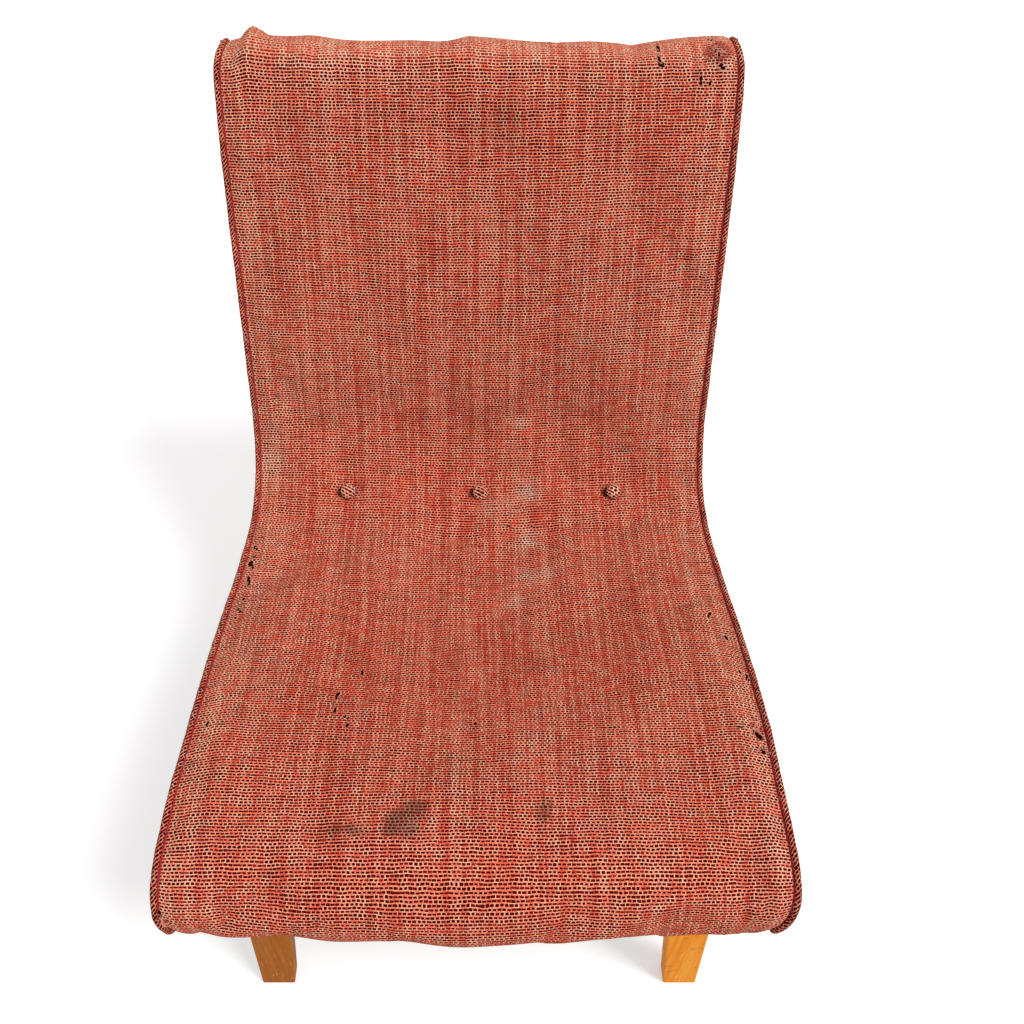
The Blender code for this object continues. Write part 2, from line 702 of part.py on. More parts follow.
def make_leg_bolts():
    for side_name, side in SIDES:
        for number, z in enumerate(FRONT_BOLT_HEIGHTS, 1):
            taper = (LEG_TOP_DEPTH - LEG_FOOT_DEPTH) * z / FRONT_LEG_TOP
            depth = LEG_FOOT_DEPTH + taper
            x = side * (leg_outer_x(z) + leg_inner_x(z)) / 2
            place = (x, LEG_FRONT_Y + depth + 2 * GAP, z)
            name = f"front_leg_bolt_{side_name}_{number}"
            make_bolt(name, place, depth + BOLT_BITE, f"front_leg_{side_name}", "front_rail")
        for number, z in enumerate(REAR_BOLT_HEIGHTS, 1):
            place = (side * REAR_LEG_X, REAR_LEG_Y + LEG_TOP_DEPTH + GAP, z)
            name = f"rear_leg_bolt_{side_name}_{number}"
            make_bolt(name, place, LEG_TOP_DEPTH + BOLT_BITE, f"rear_leg_{side_name}", "rear_rail")


def spring_points(x, start, end, pitch):
    """The zigzag of a sinuous spring, with a straight bar across at each end."""
    loops = round((end - start) / pitch)
    step = (end - start) / loops
    places = [(-END_BAR_REACH, start), (END_BAR_REACH, start)]
    for loop in range(loops):
        reach = LOOP_REACH if loop % 2 == 0 else -LOOP_REACH
        for along, across in LOOP_SHAPE:
            places.append((reach * across, start + (loop + along) * step))
    last = END_BAR_REACH if loops % 2 else -END_BAR_REACH
    places += [(last, end), (-last, end)]
    points = []
    for across, s in places:
        width = half_width(profile(s)[0]) - COVER_EDGE_INSET
        hang = spring_hang(s) * dish_between_columns((x + across) / width)
        y, z = inset(s, WIRE_DEPTH + hang)
        points.append((x + across, y, z))
    return points


def make_clip(name, x, s, towards):
    """A steel clip curled over a spring's end bar. towards is 1 where the spring lies up the profile."""
    inner = WIRE_RADIUS + GAP
    outer = inner + CLIP_THICKNESS
    angles = [math.radians(-90 - CLIP_WRAP * step / CLIP_ARC_STEPS) for step in range(CLIP_ARC_STEPS + 1)]
    outline = [(CLIP_TAIL, -outer)]
    outline += [(outer * math.cos(angle), outer * math.sin(angle)) for angle in angles]
    outline += [(inner * math.cos(angle), inner * math.sin(angle)) for angle in reversed(angles)]
    outline += [(CLIP_TAIL, -inner)]
    heading = profile(s)[2]
    y, z = inset(s, WIRE_DEPTH)
    along = Vector((0.0, math.cos(heading), math.sin(heading))) * -towards
    up = Vector((0.0, -math.sin(heading), math.cos(heading)))
    across = along.cross(up)
    clip = flat_outline(name, (outline,), CLIP_WIDTH, STEEL)
    clip.matrix_world = Matrix(
        [(along[axis], up[axis], across[axis], (x, y, z)[axis]) for axis in range(3)] + [(0, 0, 0, 1)]
    )


def spread(count, room):
    """Places across the chair for a row of springs that stops short of the back's edges."""
    reach = BACK_WIDTH / 2 - room
    return [reach * (2 * number / (count - 1) - 1) for number in range(count)]


def make_springs():
    seat_places = spread(SEAT_SPRINGS, SEAT_SPRING_ROOM)
    back_places = spread(BACK_SPRINGS, BACK_SPRING_ROOM)
    for family, ends, places, start, end, pitch in (
        ("seat", ("front", "rear"), seat_places, FRONT_CLIP_S, REAR_CLIP_S, SEAT_LOOP_PITCH),
        ("back", ("lower", "upper"), back_places, LOWER_CLIP_S, UPPER_CLIP_S, BACK_LOOP_PITCH),
    ):
        for number, x in enumerate(places, 1):
            tube(f"{family}_spring_{number}", spring_points(x, start, end, pitch), WIRE_RADIUS, STEEL)
            make_clip(f"{family}_spring_clip_{number}_{ends[0]}", x, start, 1)
            make_clip(f"{family}_spring_clip_{number}_{ends[1]}", x, end, -1)


def padded_layer(name, lengths):
    return layer(
        name,
        lengths,
        lambda u, s: layer_point(u, s, PAD_TOP - crown(u, s), PAD_EDGE_INSET),
        lambda u, s: bench_point(u, s, PAD_BOTTOM + spring_hang(s) * dish(u), PAD_EDGE_INSET),
        PADDING,
    )


def hessian_layer(name, lengths):
    return layer(
        name,
        lengths,
        lambda u, s: layer_point(u, s, HESSIAN_TOP + spring_hang(s) * dish(u), PAD_EDGE_INSET),
        lambda u, s: layer_point(u, s, HESSIAN_BOTTOM + spring_hang(s) * dish(u), PAD_EDGE_INSET),
        HESSIAN,
    )


def make_padding():
    seat = [s for s in stations(0, 7) if s < BUTTON_S - GAP][2:] + [BUTTON_S - GAP / 2]
    back = [BUTTON_S + GAP / 2] + [s for s in stations(7, 10) if s > BUTTON_S + GAP]
    padded_layer("seat_pad", seat)
    padded_layer("back_pad", back)
    hessian_layer("seat_hessian", [s for s in seat if s >= SEAT_S])
    hessian_layer("back_hessian", [back[0]] + [s for s in back[1:] if s <= ROLL_S])


def cover_layer(name, lengths, edge_inset, material):
    return layer(
        name,
        lengths,
        lambda u, s: layer_point(u, s, -crown(u, s), edge_inset),
        lambda u, s: layer_point(u, s, COVER_THICKNESS - crown(u, s), edge_inset),
        material,
    )


def make_covers():
    """One cloth runs from under the nose to behind the top, and a plain one closes the back."""
    front = stations(0, 10)[:-1] + [REAR_S - GAP / 2]
    cover_layer("front_cover", front, COVER_EDGE_INSET, CLOTH)
    rear = [REAR_S + GAP / 2] + stations(11, 12)[1:-1] + [END_S - GAP]
    cover_layer("back_cover", rear, FRAME_INSET, BACK_CLOTH)


def make_borders_and_piping():
    """A flat panel of cloth closes each side, and a welt covers its seam from the nose to behind the top."""
    depth = PIPING_DEPTH + PIPING_RADIUS + GAP
    lengths = stations(0, 10)
    step_s = REAR_S + PIPING_END_ROOM
    front_y = NOSE_START_Y + PIPING_END_ROOM
    outline = [(front_y, underside(front_y)), (front_y, inset(UNDER_S, depth)[1])]
    outline += [inset(s, depth) for s in lengths[1:]]
    outline += [inset(step_s, depth), inset(step_s, 0.0)]
    outline += [inset(s, 0.0) for s in stations(11, 12)[1:]]
    for side_name, side in SIDES:
        x = side * (BACK_WIDTH / 2 - BORDER_INSET - BORDER_THICKNESS / 2)
        follow_width(plank(f"side_border_{side_name}", outline, x, BORDER_THICKNESS, BACK_CLOTH, 0), side)
        route = []
        for s in lengths:
            y, z = inset(s, PIPING_DEPTH)
            route.append((side * (half_width(profile(s)[0]) - PIPING_RADIUS), y, z))
        tube(f"piping_{side_name}", route, PIPING_RADIUS, WELT)


def make_dust_cover():
    """Black cloth tacked under the frame, with an opening for each leg."""
    slope = math.cos(math.radians(UNDERSIDE_FALL))
    front_y = NOSE_START_Y + 2 * GAP
    rear_y = profile(END_S)[0] - FRAME_INSET
    edge = [front_y] + taper_stations() + [rear_y]
    right = [(half_width(y) - FRAME_INSET, y / slope) for y in edge]
    outlines = [right + [(-x, y) for x, y in reversed(right)]]
    for _, side in SIDES:
        front_z = underside(LEG_FRONT_Y)
        legs = (
            (leg_inner_x(front_z), leg_outer_x(front_z), LEG_FRONT_Y, LEG_REAR_Y),
            (
                REAR_LEG_X - REAR_LEG_WIDTH / 2,
                REAR_LEG_X + REAR_LEG_WIDTH / 2,
                REAR_LEG_Y,
                REAR_LEG_Y + LEG_TOP_DEPTH,
            ),
        )
        for x0, x1, y0, y1 in legs:
            x0, x1 = sorted((side * (x0 - LEG_OPENING_ROOM), side * (x1 + LEG_OPENING_ROOM)))
            y0, y1 = (y0 - LEG_OPENING_ROOM) / slope, (y1 + LEG_OPENING_ROOM) / slope
            outlines.append([(x0, y0), (x0, y1), (x1, y1), (x1, y0)])
    cover = flat_outline("dust_cover", outlines, DUST_COVER_THICKNESS, LINING)
    tilt = Matrix.Rotation(math.radians(-UNDERSIDE_FALL), 4, "X")
    cover.matrix_world = Matrix.Translation((0, 0, underside(0) + DUST_COVER_THICKNESS / 2 + GAP)) @ tilt


def make_buttons():
    outline = [(0.0, BUTTON_HEIGHT)]
    for degrees in BUTTON_DOME_ANGLES:
        angle = math.radians(degrees)
        rise = BUTTON_RIM_SHARE + (1 - BUTTON_RIM_SHARE) * math.cos(angle)
        outline.append((BUTTON_RADIUS * math.sin(angle), BUTTON_HEIGHT * rise))
    outline += [(BUTTON_FOOT_RADIUS, 0.0), (0.0, 0.0)]
    for name, x in zip(("left", "centre", "right"), BUTTON_PLACES):
        width = half_width(profile(BUTTON_S)[0]) - COVER_EDGE_INSET
        proud = keyed(CROWN_KEYS, BUTTON_S) * dish_between_columns(x / width) - BUTTON_PULL + BUTTON_SEAT
        y, z = inset(BUTTON_S, -proud)
        button = turned(f"button_{name}", outline, BUTTON_SIDES, CLOTH)
        lean = Matrix.Rotation(profile(BUTTON_S)[2], 4, "X")
        button.matrix_world = Matrix.Translation((x, y, z)) @ lean


make_back_posts()
make_side_rails()
make_cross_rails()
make_front_legs()
make_rear_legs()
make_corner_blocks()
make_leg_bolts()
make_springs()
make_padding()
make_covers()
make_borders_and_piping()
make_dust_cover()
make_buttons()
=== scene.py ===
"""Looks of a sagging armless lounge chair: worn woven cover, welts, buttons, wood, springs and lining.

X is across the chair, the sitter faces -Y, and Z is up. Cloth coordinates are x across and s along the
side profile, from under the nose to behind the top.
"""

import json
import math
import random

import bmesh
import bpy
import numpy as np
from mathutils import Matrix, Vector


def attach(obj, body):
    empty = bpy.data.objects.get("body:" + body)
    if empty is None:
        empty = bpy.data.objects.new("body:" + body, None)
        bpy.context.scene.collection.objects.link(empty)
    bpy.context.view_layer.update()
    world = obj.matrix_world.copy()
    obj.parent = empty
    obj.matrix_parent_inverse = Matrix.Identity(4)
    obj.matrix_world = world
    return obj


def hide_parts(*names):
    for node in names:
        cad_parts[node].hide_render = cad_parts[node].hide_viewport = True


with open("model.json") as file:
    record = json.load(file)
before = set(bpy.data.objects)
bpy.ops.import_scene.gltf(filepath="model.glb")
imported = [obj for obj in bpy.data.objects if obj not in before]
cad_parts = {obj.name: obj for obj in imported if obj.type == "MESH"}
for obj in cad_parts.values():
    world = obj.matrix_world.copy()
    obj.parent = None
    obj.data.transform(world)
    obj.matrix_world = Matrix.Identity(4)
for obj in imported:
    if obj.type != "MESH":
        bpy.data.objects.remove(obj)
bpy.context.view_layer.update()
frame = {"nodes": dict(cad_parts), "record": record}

# Photograph and camera
PHOTO_PIXELS = 1024
FOCAL_PIXELS = 1000.0
SENSOR = 36.0
CAMERA_PLACE = (0.0, -0.7383, 1.2837)
CAMERA_PITCH = 48.0
CAMERA_SHIFT = 0.0322

# Side profile and widths, as in the solids
GAP = 0.0003
SEAT_WIDTH = 0.600
BACK_WIDTH = 0.578
TAPER_START_Y = -0.095
TAPER_END_Y = 0.155
NOSE_START_Y = -0.354
UNDERSIDE_Z = 0.2825
UNDERSIDE_FALL = 4.7
NOSE_LOWER_RADIUS = 0.050
NOSE_FRONT_RADIUS = 0.045
NOSE_TOP_RADIUS = 0.090
NOSE_TOP_TURN = 24.0
FRONT_FLAT_LENGTH = 0.011
SEAT_FALL_LENGTH = 0.200
SEAT_FALL_TURN = 12.5
SEAT_FLAT_LENGTH = 0.060
SEAT_RISE_LENGTH = 0.160
SEAT_RISE_TURN = 14.5
CREASE_LENGTH = 0.158
CREASE_TURN = 70.0
BACK_LENGTH = 0.250
SHOULDER_LENGTH = 0.148
SHOULDER_TURN = 8.0
BACK_THICKNESS = 0.078

# Sag of the cover, as in the solids
NOSE_BULGE = 0.0075
CREST_BULGE = 0.004
SEAT_SAG = 0.025
FRONT_SAG_SHARE = 0.85
REAR_SEAT_SAG = 0.016
CREASE_SAG = 0.008
BACK_SAG = 0.005
SPRING_SAG = 0.024
SAG_SHARE = 0.86
EDGE_ROLL = 0.004
EDGE_ROLL_SHARE = 0.93

# Layers and trim, as in the solids
WELT_RADIUS = 0.0031
WELT_DEPTH = 0.0022
COVER_EDGE_INSET = 2 * WELT_RADIUS + GAP
PAD_EDGE_INSET = 0.0086
BORDER_INSET = 0.001
FRAME_INSET = 0.0033
PAD_TOP = 0.0028
PAD_BOTTOM = 0.0314
HESSIAN_DEPTH = 0.0323
BUTTON_RADIUS = 0.010
BUTTON_HEIGHT = 0.006
BUTTON_PLACES = (-0.1685, 0.0020, 0.1740)
BUTTON_TURN = 26.0
BUTTON_PULL = 0.0035


def stacked(*parts):
    return np.stack(parts, axis=-1)


def arc(radius, degrees):
    return radius * math.radians(degrees)


def walked(start, segments, s):
    """Point and heading after walking s along arcs of (length, turn in degrees), from a start facing -Y."""
    y, z = start
    heading = math.pi
    for length, turn in segments:
        step = min(s, length)
        bend = math.radians(turn) / length
        if turn:
            y += (math.sin(heading + bend * step) - math.sin(heading)) / bend
            z -= (math.cos(heading + bend * step) - math.cos(heading)) / bend
        else:
            y += step * math.cos(heading)
            z += step * math.sin(heading)
        heading += bend * step
        s -= step
        if s <= 0:
            break
    return y, z, heading


def underside(y):
    return UNDERSIDE_Z - (y - NOSE_START_Y) * math.tan(math.radians(UNDERSIDE_FALL))


FRONT_SEGMENTS = (
    (arc(NOSE_LOWER_RADIUS, 90), -90.0),
    (arc(NOSE_FRONT_RADIUS, 90 - NOSE_TOP_TURN), NOSE_TOP_TURN - 90),
    (arc(NOSE_TOP_RADIUS, NOSE_TOP_TURN), -NOSE_TOP_TURN),
    (FRONT_FLAT_LENGTH, 0.0),
    (SEAT_FALL_LENGTH, -SEAT_FALL_TURN),
    (SEAT_FLAT_LENGTH, 0.0),
    (SEAT_RISE_LENGTH, SEAT_RISE_TURN),
    (CREASE_LENGTH, CREASE_TURN),
    (BACK_LENGTH, 0.0),
    (SHOULDER_LENGTH, -SHOULDER_TURN),
    (arc(BACK_THICKNESS / 2, 180), -180.0),
)
START = (NOSE_START_Y, UNDERSIDE_Z)
BACK_FOOT_S = sum(length for length, _ in FRONT_SEGMENTS[:8])


def rear_drop():
    """Length of the rear face below the foot of the back, down to the underside."""
    y, z, heading = walked(START, FRONT_SEGMENTS, BACK_FOOT_S)
    rear_y = y + BACK_THICKNESS * math.sin(heading)
    rear_z = z - BACK_THICKNESS * math.cos(heading)
    fall = math.tan(math.radians(UNDERSIDE_FALL))
    return (rear_z - underside(rear_y)) / (math.sin(heading) + fall * math.cos(heading))


SEGMENTS = FRONT_SEGMENTS + (
    (SHOULDER_LENGTH - arc(BACK_THICKNESS, SHOULDER_TURN), SHOULDER_TURN),
    (BACK_LENGTH + rear_drop(), 0.0),
)
KNOTS = [sum(length for length, _ in SEGMENTS[:count]) for count in range(len(SEGMENTS) + 1)]
FOREMOST_S, CREST_S, SEAT_S, SEAT_FLAT_S, SEAT_RISE_S, CREASE_S = (KNOTS[i] for i in (1, 3, 4, 5, 6, 7))
ROLL_S, REAR_S, END_S = (KNOTS[i] for i in (10, 11, 13))
APEX_S = (ROLL_S + REAR_S) / 2
BUTTON_S = CREASE_S + CREASE_LENGTH * BUTTON_TURN / CREASE_TURN
TRACK_S = np.linspace(0.0, END_S, 4001)
TRACK = np.array([walked(START, SEGMENTS, s) for s in TRACK_S])


def track(s):
    """Points and headings of the side profile."""
    return (np.interp(s, TRACK_S, TRACK[:, axis]) for axis in range(3))


def smooth(t):
    t = np.clip(t, 0.0, 1.0)
    return t * t * (3 - 2 * t)


def half_width(y):
    taper = smooth((y - TAPER_START_Y) / (TAPER_END_Y - TAPER_START_Y))
    return (SEAT_WIDTH + (BACK_WIDTH - SEAT_WIDTH) * taper) / 2


def keyed(keys, s):
    """Values at s, eased between the (s, value) keys."""
    value = np.full_like(s, keys[0][1])
    for (s0, value0), (s1, value1) in zip(keys, keys[1:]):
        value += (value1 - value0) * smooth((s - s0) / (s1 - s0))
    return value


def dish(u):
    return (1 - np.minimum(1.0, np.abs(u) / SAG_SHARE) ** 2) ** 2


CROWN_KEYS = (
    (0.0, 0.0),
    (FOREMOST_S, NOSE_BULGE),
    (CREST_S, CREST_BULGE),
    (SEAT_FLAT_S, -SEAT_SAG * FRONT_SAG_SHARE),
    (SEAT_RISE_S, -SEAT_SAG),
    (CREASE_S, -REAR_SEAT_SAG),
    (BUTTON_S, -CREASE_SAG),
    (BACK_FOOT_S + BACK_LENGTH / 2, -BACK_SAG),
    (ROLL_S, 0.0),
)


def crown(u, s):
    """How far the cover's face stands proud of the piping line."""
    edge = np.maximum(0.0, (np.abs(u) - EDGE_ROLL_SHARE) / (1 - EDGE_ROLL_SHARE))
    fade = smooth(s / FOREMOST_S) * (1 - smooth((s - ROLL_S) / (REAR_S - ROLL_S)))
    return keyed(CROWN_KEYS, s) * dish(u) - EDGE_ROLL * fade * edge**2


def on_profile(u, s, depth, edge_inset):
    """World points across the chair at u and along it at s, moved in by depth."""
    u, s, depth = np.broadcast_arrays(u, s, depth)
    y, z, heading = track(s)
    x = u * (half_width(y) - edge_inset)
    return stacked(x, y + depth * np.sin(heading), z - depth * np.cos(heading))


# Relief that only the cloth has: dimples, the crease, rubbed ridges and lumps in the padding
DIMPLE_DEPTH = 0.0022
DIMPLE_SPREAD = 0.011
DIMPLE_SKIRT_SPREAD = 0.027
CREASE_DEPTH = 0.0022
CREASE_SPREAD = 0.0055
CREASE_WANDER = 0.0015
CREASE_REACH = 0.20
CREASE_FADE = 0.06
RIDGE_HEIGHT = 0.0022
RIDGE_U = 0.885
RIDGE_SPREAD = 0.045
LUMP_HEIGHT = 0.0009
# Lumps: (radians per metre across, radians per metre along, phase)
LUMP_WAVES = ((31, 17, 0.4), (-23, 29, 1.9), (47, -12, 3.1), (12, 53, 4.4), (67, 41, 0.9), (-58, 73, 2.6))
LUMP_FALL = 0.25
LUMP_EDGE_U = 0.85


def bell(distance, spread):
    return np.exp(-0.5 * (distance / spread) ** 2)


def lumps(x, s):
    """Slow unevenness of old padding, as a sum of a few waves."""
    total = 0
    for number, (across, along, phase) in enumerate(LUMP_WAVES):
        total = total + np.sin(across * x + along * s + phase) / (1 + number * LUMP_FALL)
    return LUMP_HEIGHT * total


def relief(u, s):
    y, _, _ = track(s)
    x = u * (half_width(y) - COVER_EDGE_INSET)
    raised = lumps(x, s) * (1 - smooth((np.abs(u) - LUMP_EDGE_U) / (1 - LUMP_EDGE_U)))
    for place in BUTTON_PLACES:
        distance = np.hypot(x - place, s - BUTTON_S)
        raised = raised - DIMPLE_DEPTH * bell(distance, DIMPLE_SPREAD)
        raised = raised - BUTTON_PULL * bell(distance, DIMPLE_SKIRT_SPREAD)
    wander = CREASE_WANDER * np.sin(21 * x + 1.0)
    within = 1 - smooth((np.abs(x) - CREASE_REACH) / CREASE_FADE)
    raised -= CREASE_DEPTH * bell(s - BUTTON_S - wander, CREASE_SPREAD) * within
    seat = smooth((s - CREST_S) / 0.08) * (1 - smooth((s - SEAT_RISE_S) / 0.12))
    raised += RIDGE_HEIGHT * bell(np.abs(u) - RIDGE_U, RIDGE_SPREAD) * seat
    return raised


# How years of use have pulled the soft parts out of true: the lines in (y, z) that it happens round, how far
# from them it reaches, and how far things move
APEX = (0.386, 0.8160)
TOP_LINE_REACH = 0.036
TOP_CORNER_REACH = 0.024
TOP_CORNER_DRAW = 0.0070
NOSE_EDGE = (-0.401, 0.314)
NOSE_REACH = 0.023
NOSE_PUSH = 0.0070
NOSE_PUSH_X = -0.03
NOSE_PUSH_BREADTH = 0.15
RIGHT_NOSE_DRAW = 0.0150
LEFT_NOSE_DRAW = 0.0030
FRONT_LEAN = 0.0026
UNDER_LEFT_DRAW = 0.0035
# The top's uneven line: (x, rise)
TOP_LINE = (
    (-0.290, -0.002), (-0.268, -0.001), (-0.252, 0.012), (-0.232, 0.005), (-0.205, 0.003), (-0.186, 0.0035),
    (-0.160, 0.0005), (-0.087, -0.0005), (-0.054, -0.0003), (-0.012, 0.0032), (0.012, 0.0), (0.030, -0.0010),
    (0.078, -0.0002), (0.100, -0.002), (0.170, -0.006), (0.205, -0.0025), (0.243, -0.0005), (0.262, 0.001),
    (0.276, 0.002), (0.285, 0.0),
)


def pulled_out_of_true(points):
    """Draws in the corners, bulges the nose, leans the front to one side and gives the top its uneven line."""
    x, y, z = (points[..., axis].copy() for axis in range(3))
    from_apex = np.hypot(y - APEX[0], z - APEX[1])
    near_nose = bell(np.hypot(y - NOSE_EDGE[0], z - NOSE_EDGE[1]), NOSE_REACH)
    rise = np.interp(x, *zip(*TOP_LINE)) * bell(from_apex, TOP_LINE_REACH)
    outer = smooth((np.abs(x) - 0.20) / 0.09)
    y -= NOSE_PUSH * near_nose * bell(x - NOSE_PUSH_X, NOSE_PUSH_BREADTH)
    x -= np.sign(x) * TOP_CORNER_DRAW * bell(from_apex, TOP_CORNER_REACH) * outer
    x -= RIGHT_NOSE_DRAW * near_nose * smooth((x - 0.22) / 0.07)
    x += LEFT_NOSE_DRAW * near_nose * smooth((-x - 0.24) / 0.05)
    x -= FRONT_LEAN * smooth((-0.20 - y) / 0.12)
    below_nose = smooth((0.352 - z) / 0.030) * smooth((-0.365 - y) / 0.02)
    x += UNDER_LEFT_DRAW * below_nose * smooth((-x - 0.255) / 0.035)
    return stacked(x, y, z + rise)


# The cloth is pulled down in the lower back, so its rows run in shallow bows
PULL_KEYS = (
    (SEAT_RISE_S, 0.0),
    (BUTTON_S, 0.006),
    (BACK_FOOT_S + BACK_LENGTH * 0.3, 0.013),
    (BACK_FOOT_S + BACK_LENGTH, 0.006),
    (ROLL_S, 0.001),
)


def cloth_coordinates(u, s):
    y, _, _ = track(s)
    x = u * (half_width(y) - COVER_EDGE_INSET)
    return stacked(x, s + keyed(PULL_KEYS, s) * dish(u))


def linked(name, data):
    """A new object in the scene."""
    obj = bpy.data.objects.new(name, data)
    bpy.context.scene.collection.objects.link(obj)
    return obj


def add_camera():
    camera = linked("camera", bpy.data.cameras.new("camera"))
    camera.data.sensor_width = SENSOR
    camera.data.lens = FOCAL_PIXELS / PHOTO_PIXELS * SENSOR
    camera.data.shift_x = CAMERA_SHIFT
    camera.location = CAMERA_PLACE
    camera.rotation_euler = (math.radians(90 - CAMERA_PITCH), 0.0, 0.0)
    bpy.context.scene.camera = camera


def in_photo(points):
    """Pixel columns and rows of world points, as the camera sees them."""
    pitch = math.radians(CAMERA_PITCH)
    away = points - np.array(CAMERA_PLACE)
    depth = away[..., 1] * math.cos(pitch) - away[..., 2] * math.sin(pitch)
    height = away[..., 1] * math.sin(pitch) + away[..., 2] * math.cos(pitch)
    column = PHOTO_PIXELS * (0.5 - CAMERA_SHIFT) + FOCAL_PIXELS * away[..., 0] / depth
    row = PHOTO_PIXELS / 2 - FOCAL_PIXELS * height / depth
    return column, row


def srgb(*parts):
    """A colour for a socket, from its three 8-bit parts."""
    shares = (part / 255 for part in parts)
    return *(v / 12.92 if v <= 0.04045 else ((v + 0.055) / 1.055) ** 2.4 for v in shares), 1.0


def operation(kind):
    """A method that puts in a math node of this kind."""
    return lambda value, *others: value.shader.math(kind, value, *others)


class Value:
    """A value in a shader, which can be written in sums. Each operation on it puts in a node."""

    def __init__(self, shader, socket):
        self.shader = shader
        self.socket = socket

    def __rsub__(self, other):
        return self.shader.math("SUBTRACT", other, self)

    __add__ = __radd__ = operation("ADD")
    __sub__ = operation("SUBTRACT")
    __mul__ = operation("MULTIPLY")
    __truediv__ = operation("DIVIDE")
    __pow__ = operation("POWER")
    __abs__ = operation("ABSOLUTE")


class Shader:
    """One material's node graph. Its methods take numbers, colours or values, and give back a value."""

    def __init__(self, name):
        self.material = bpy.data.materials.new(name)
        self.material.use_nodes = True
        self.tree = self.material.node_tree
        self.surface = self.tree.nodes["Principled BSDF"]

    def put(self, kind, inputs, **settings):
        node = self.tree.nodes.new(kind)
        for name, value in settings.items():
            setattr(node, name, value)
        for key, value in inputs.items():
            self.feed(node.inputs[key], value)
        return node

    def feed(self, socket, value):
        if isinstance(value, Value):
            self.tree.links.new(value.socket, socket)
        else:
            socket.default_value = value

    def value(self, output, kind, inputs, **settings):
        """The output of this number or name of a new node."""
        return Value(self, self.put(kind, inputs, **settings).outputs[output])

    def set(self, **inputs):
        for name, value in inputs.items():
            self.feed(self.surface.inputs[name.replace("_", " ")], value)

    def math(self, operation, a, b=0.0):
        return self.value(0, "ShaderNodeMath", {0: a, 1: b}, operation=operation)

    def ramp(self, value, low, high, start=0.0, end=1.0):
        inputs = {0: value, 1: low, 2: high, 3: start, 4: end}
        return self.value(0, "ShaderNodeMapRange", inputs, interpolation_type="SMOOTHSTEP")

    def blend(self, share, a, b, how="MIX"):
        return self.value(2, "ShaderNodeMix", {0: share, 6: a, 7: b}, data_type="RGBA", blend_type=how)

    def covered(self, colour, *layers):
        """A colour with layers of (share, colour) over it, one after another."""
        for share, layer in layers:
            colour = self.blend(share, colour, layer)
        return colour

    def noise(self, vector, scale, detail=2.0, roughness=0.5):
        inputs = {"Vector": vector, "Scale": scale, "Detail": detail, "Roughness": roughness}
        return self.value("Fac", "ShaderNodeTexNoise", inputs)

    def chance(self, number):
        return self.value("Value", "ShaderNodeTexWhiteNoise", {"W": number}, noise_dimensions="1D")

    def combine(self, x, y, z=0.0):
        return self.value(0, "ShaderNodeCombineXYZ", {0: x, 1: y, 2: z})

    def split(self, vector):
        return [Value(self, socket) for socket in self.put("ShaderNodeSeparateXYZ", {0: vector}).outputs]

    def colours(self, value, *stops):
        node = self.put("ShaderNodeValToRGB", {0: value})
        elements = node.color_ramp.elements
        while len(elements) < len(stops):
            elements.new(0.5)
        for element, (position, colour) in zip(elements, stops):
            element.position = position
            element.color = colour
        return Value(self, node.outputs[0])

    def attribute(self, name):
        return self.value("Fac", "ShaderNodeAttribute", {}, attribute_name=name)

    def cloth(self):
        return self.value(0, "ShaderNodeUVMap", {}, uv_map="cloth")

    def position(self):
        return self.value("Object", "ShaderNodeTexCoord", {})

    def bump(self, height, distance, strength=1.0):
        inputs = {"Strength": strength, "Distance": distance, "Height": height}
        self.set(Normal=self.value(0, "ShaderNodeBump", inputs))


CORAL_DEEP = srgb(168, 48, 36)
CORAL = srgb(224, 84, 62)
SALMON = srgb(248, 142, 112)
CREAM = srgb(254, 200, 168)
# Gap colours: painted shade over the yarns' maroon; the darker also paints button shadows and holes
SHADE_MAROON = srgb(60, 4, 2)
GAP_SHADE_RED = srgb(106, 9, 5)
CRIMSON = srgb(206, 52, 68)
RUBBED_RED = srgb(158, 46, 50)
DIRT = srgb(108, 84, 64)
GREY_STAIN = srgb(236, 204, 178)
# Painted shade for the wood on the chair's left side
WOOD_LEFT_SHADE = srgb(172, 154, 50)
WOOD_RUBBED = srgb(244, 206, 150)
WOOD_DIRT = srgb(92, 48, 18)
RUST = srgb(112, 58, 30)

# Weave: pitches and how far the yarns stray, in metres, and the gaps' half sizes in shares of the pitch
WARP_PITCH = 0.00440
WEFT_PITCH = 0.00313
WARP_STRAY = 0.0017
WEFT_STRAY = 0.0024
ROW_STRAY = 0.4
GAP_WIDTH = 0.410
GAP_WIDTH_SPREAD = 0.16
GAP_HEIGHT = 0.325
GAP_HEIGHT_SPREAD = 0.15
GAP_SQUARENESS = 6.0
GAP_FUZZ = 0.8
YARN_LIGHT = 0.415
NOISE_SPAN = (0.35, 0.65)
FAR_APART = 97.0
YARN_HEIGHT = 0.0005


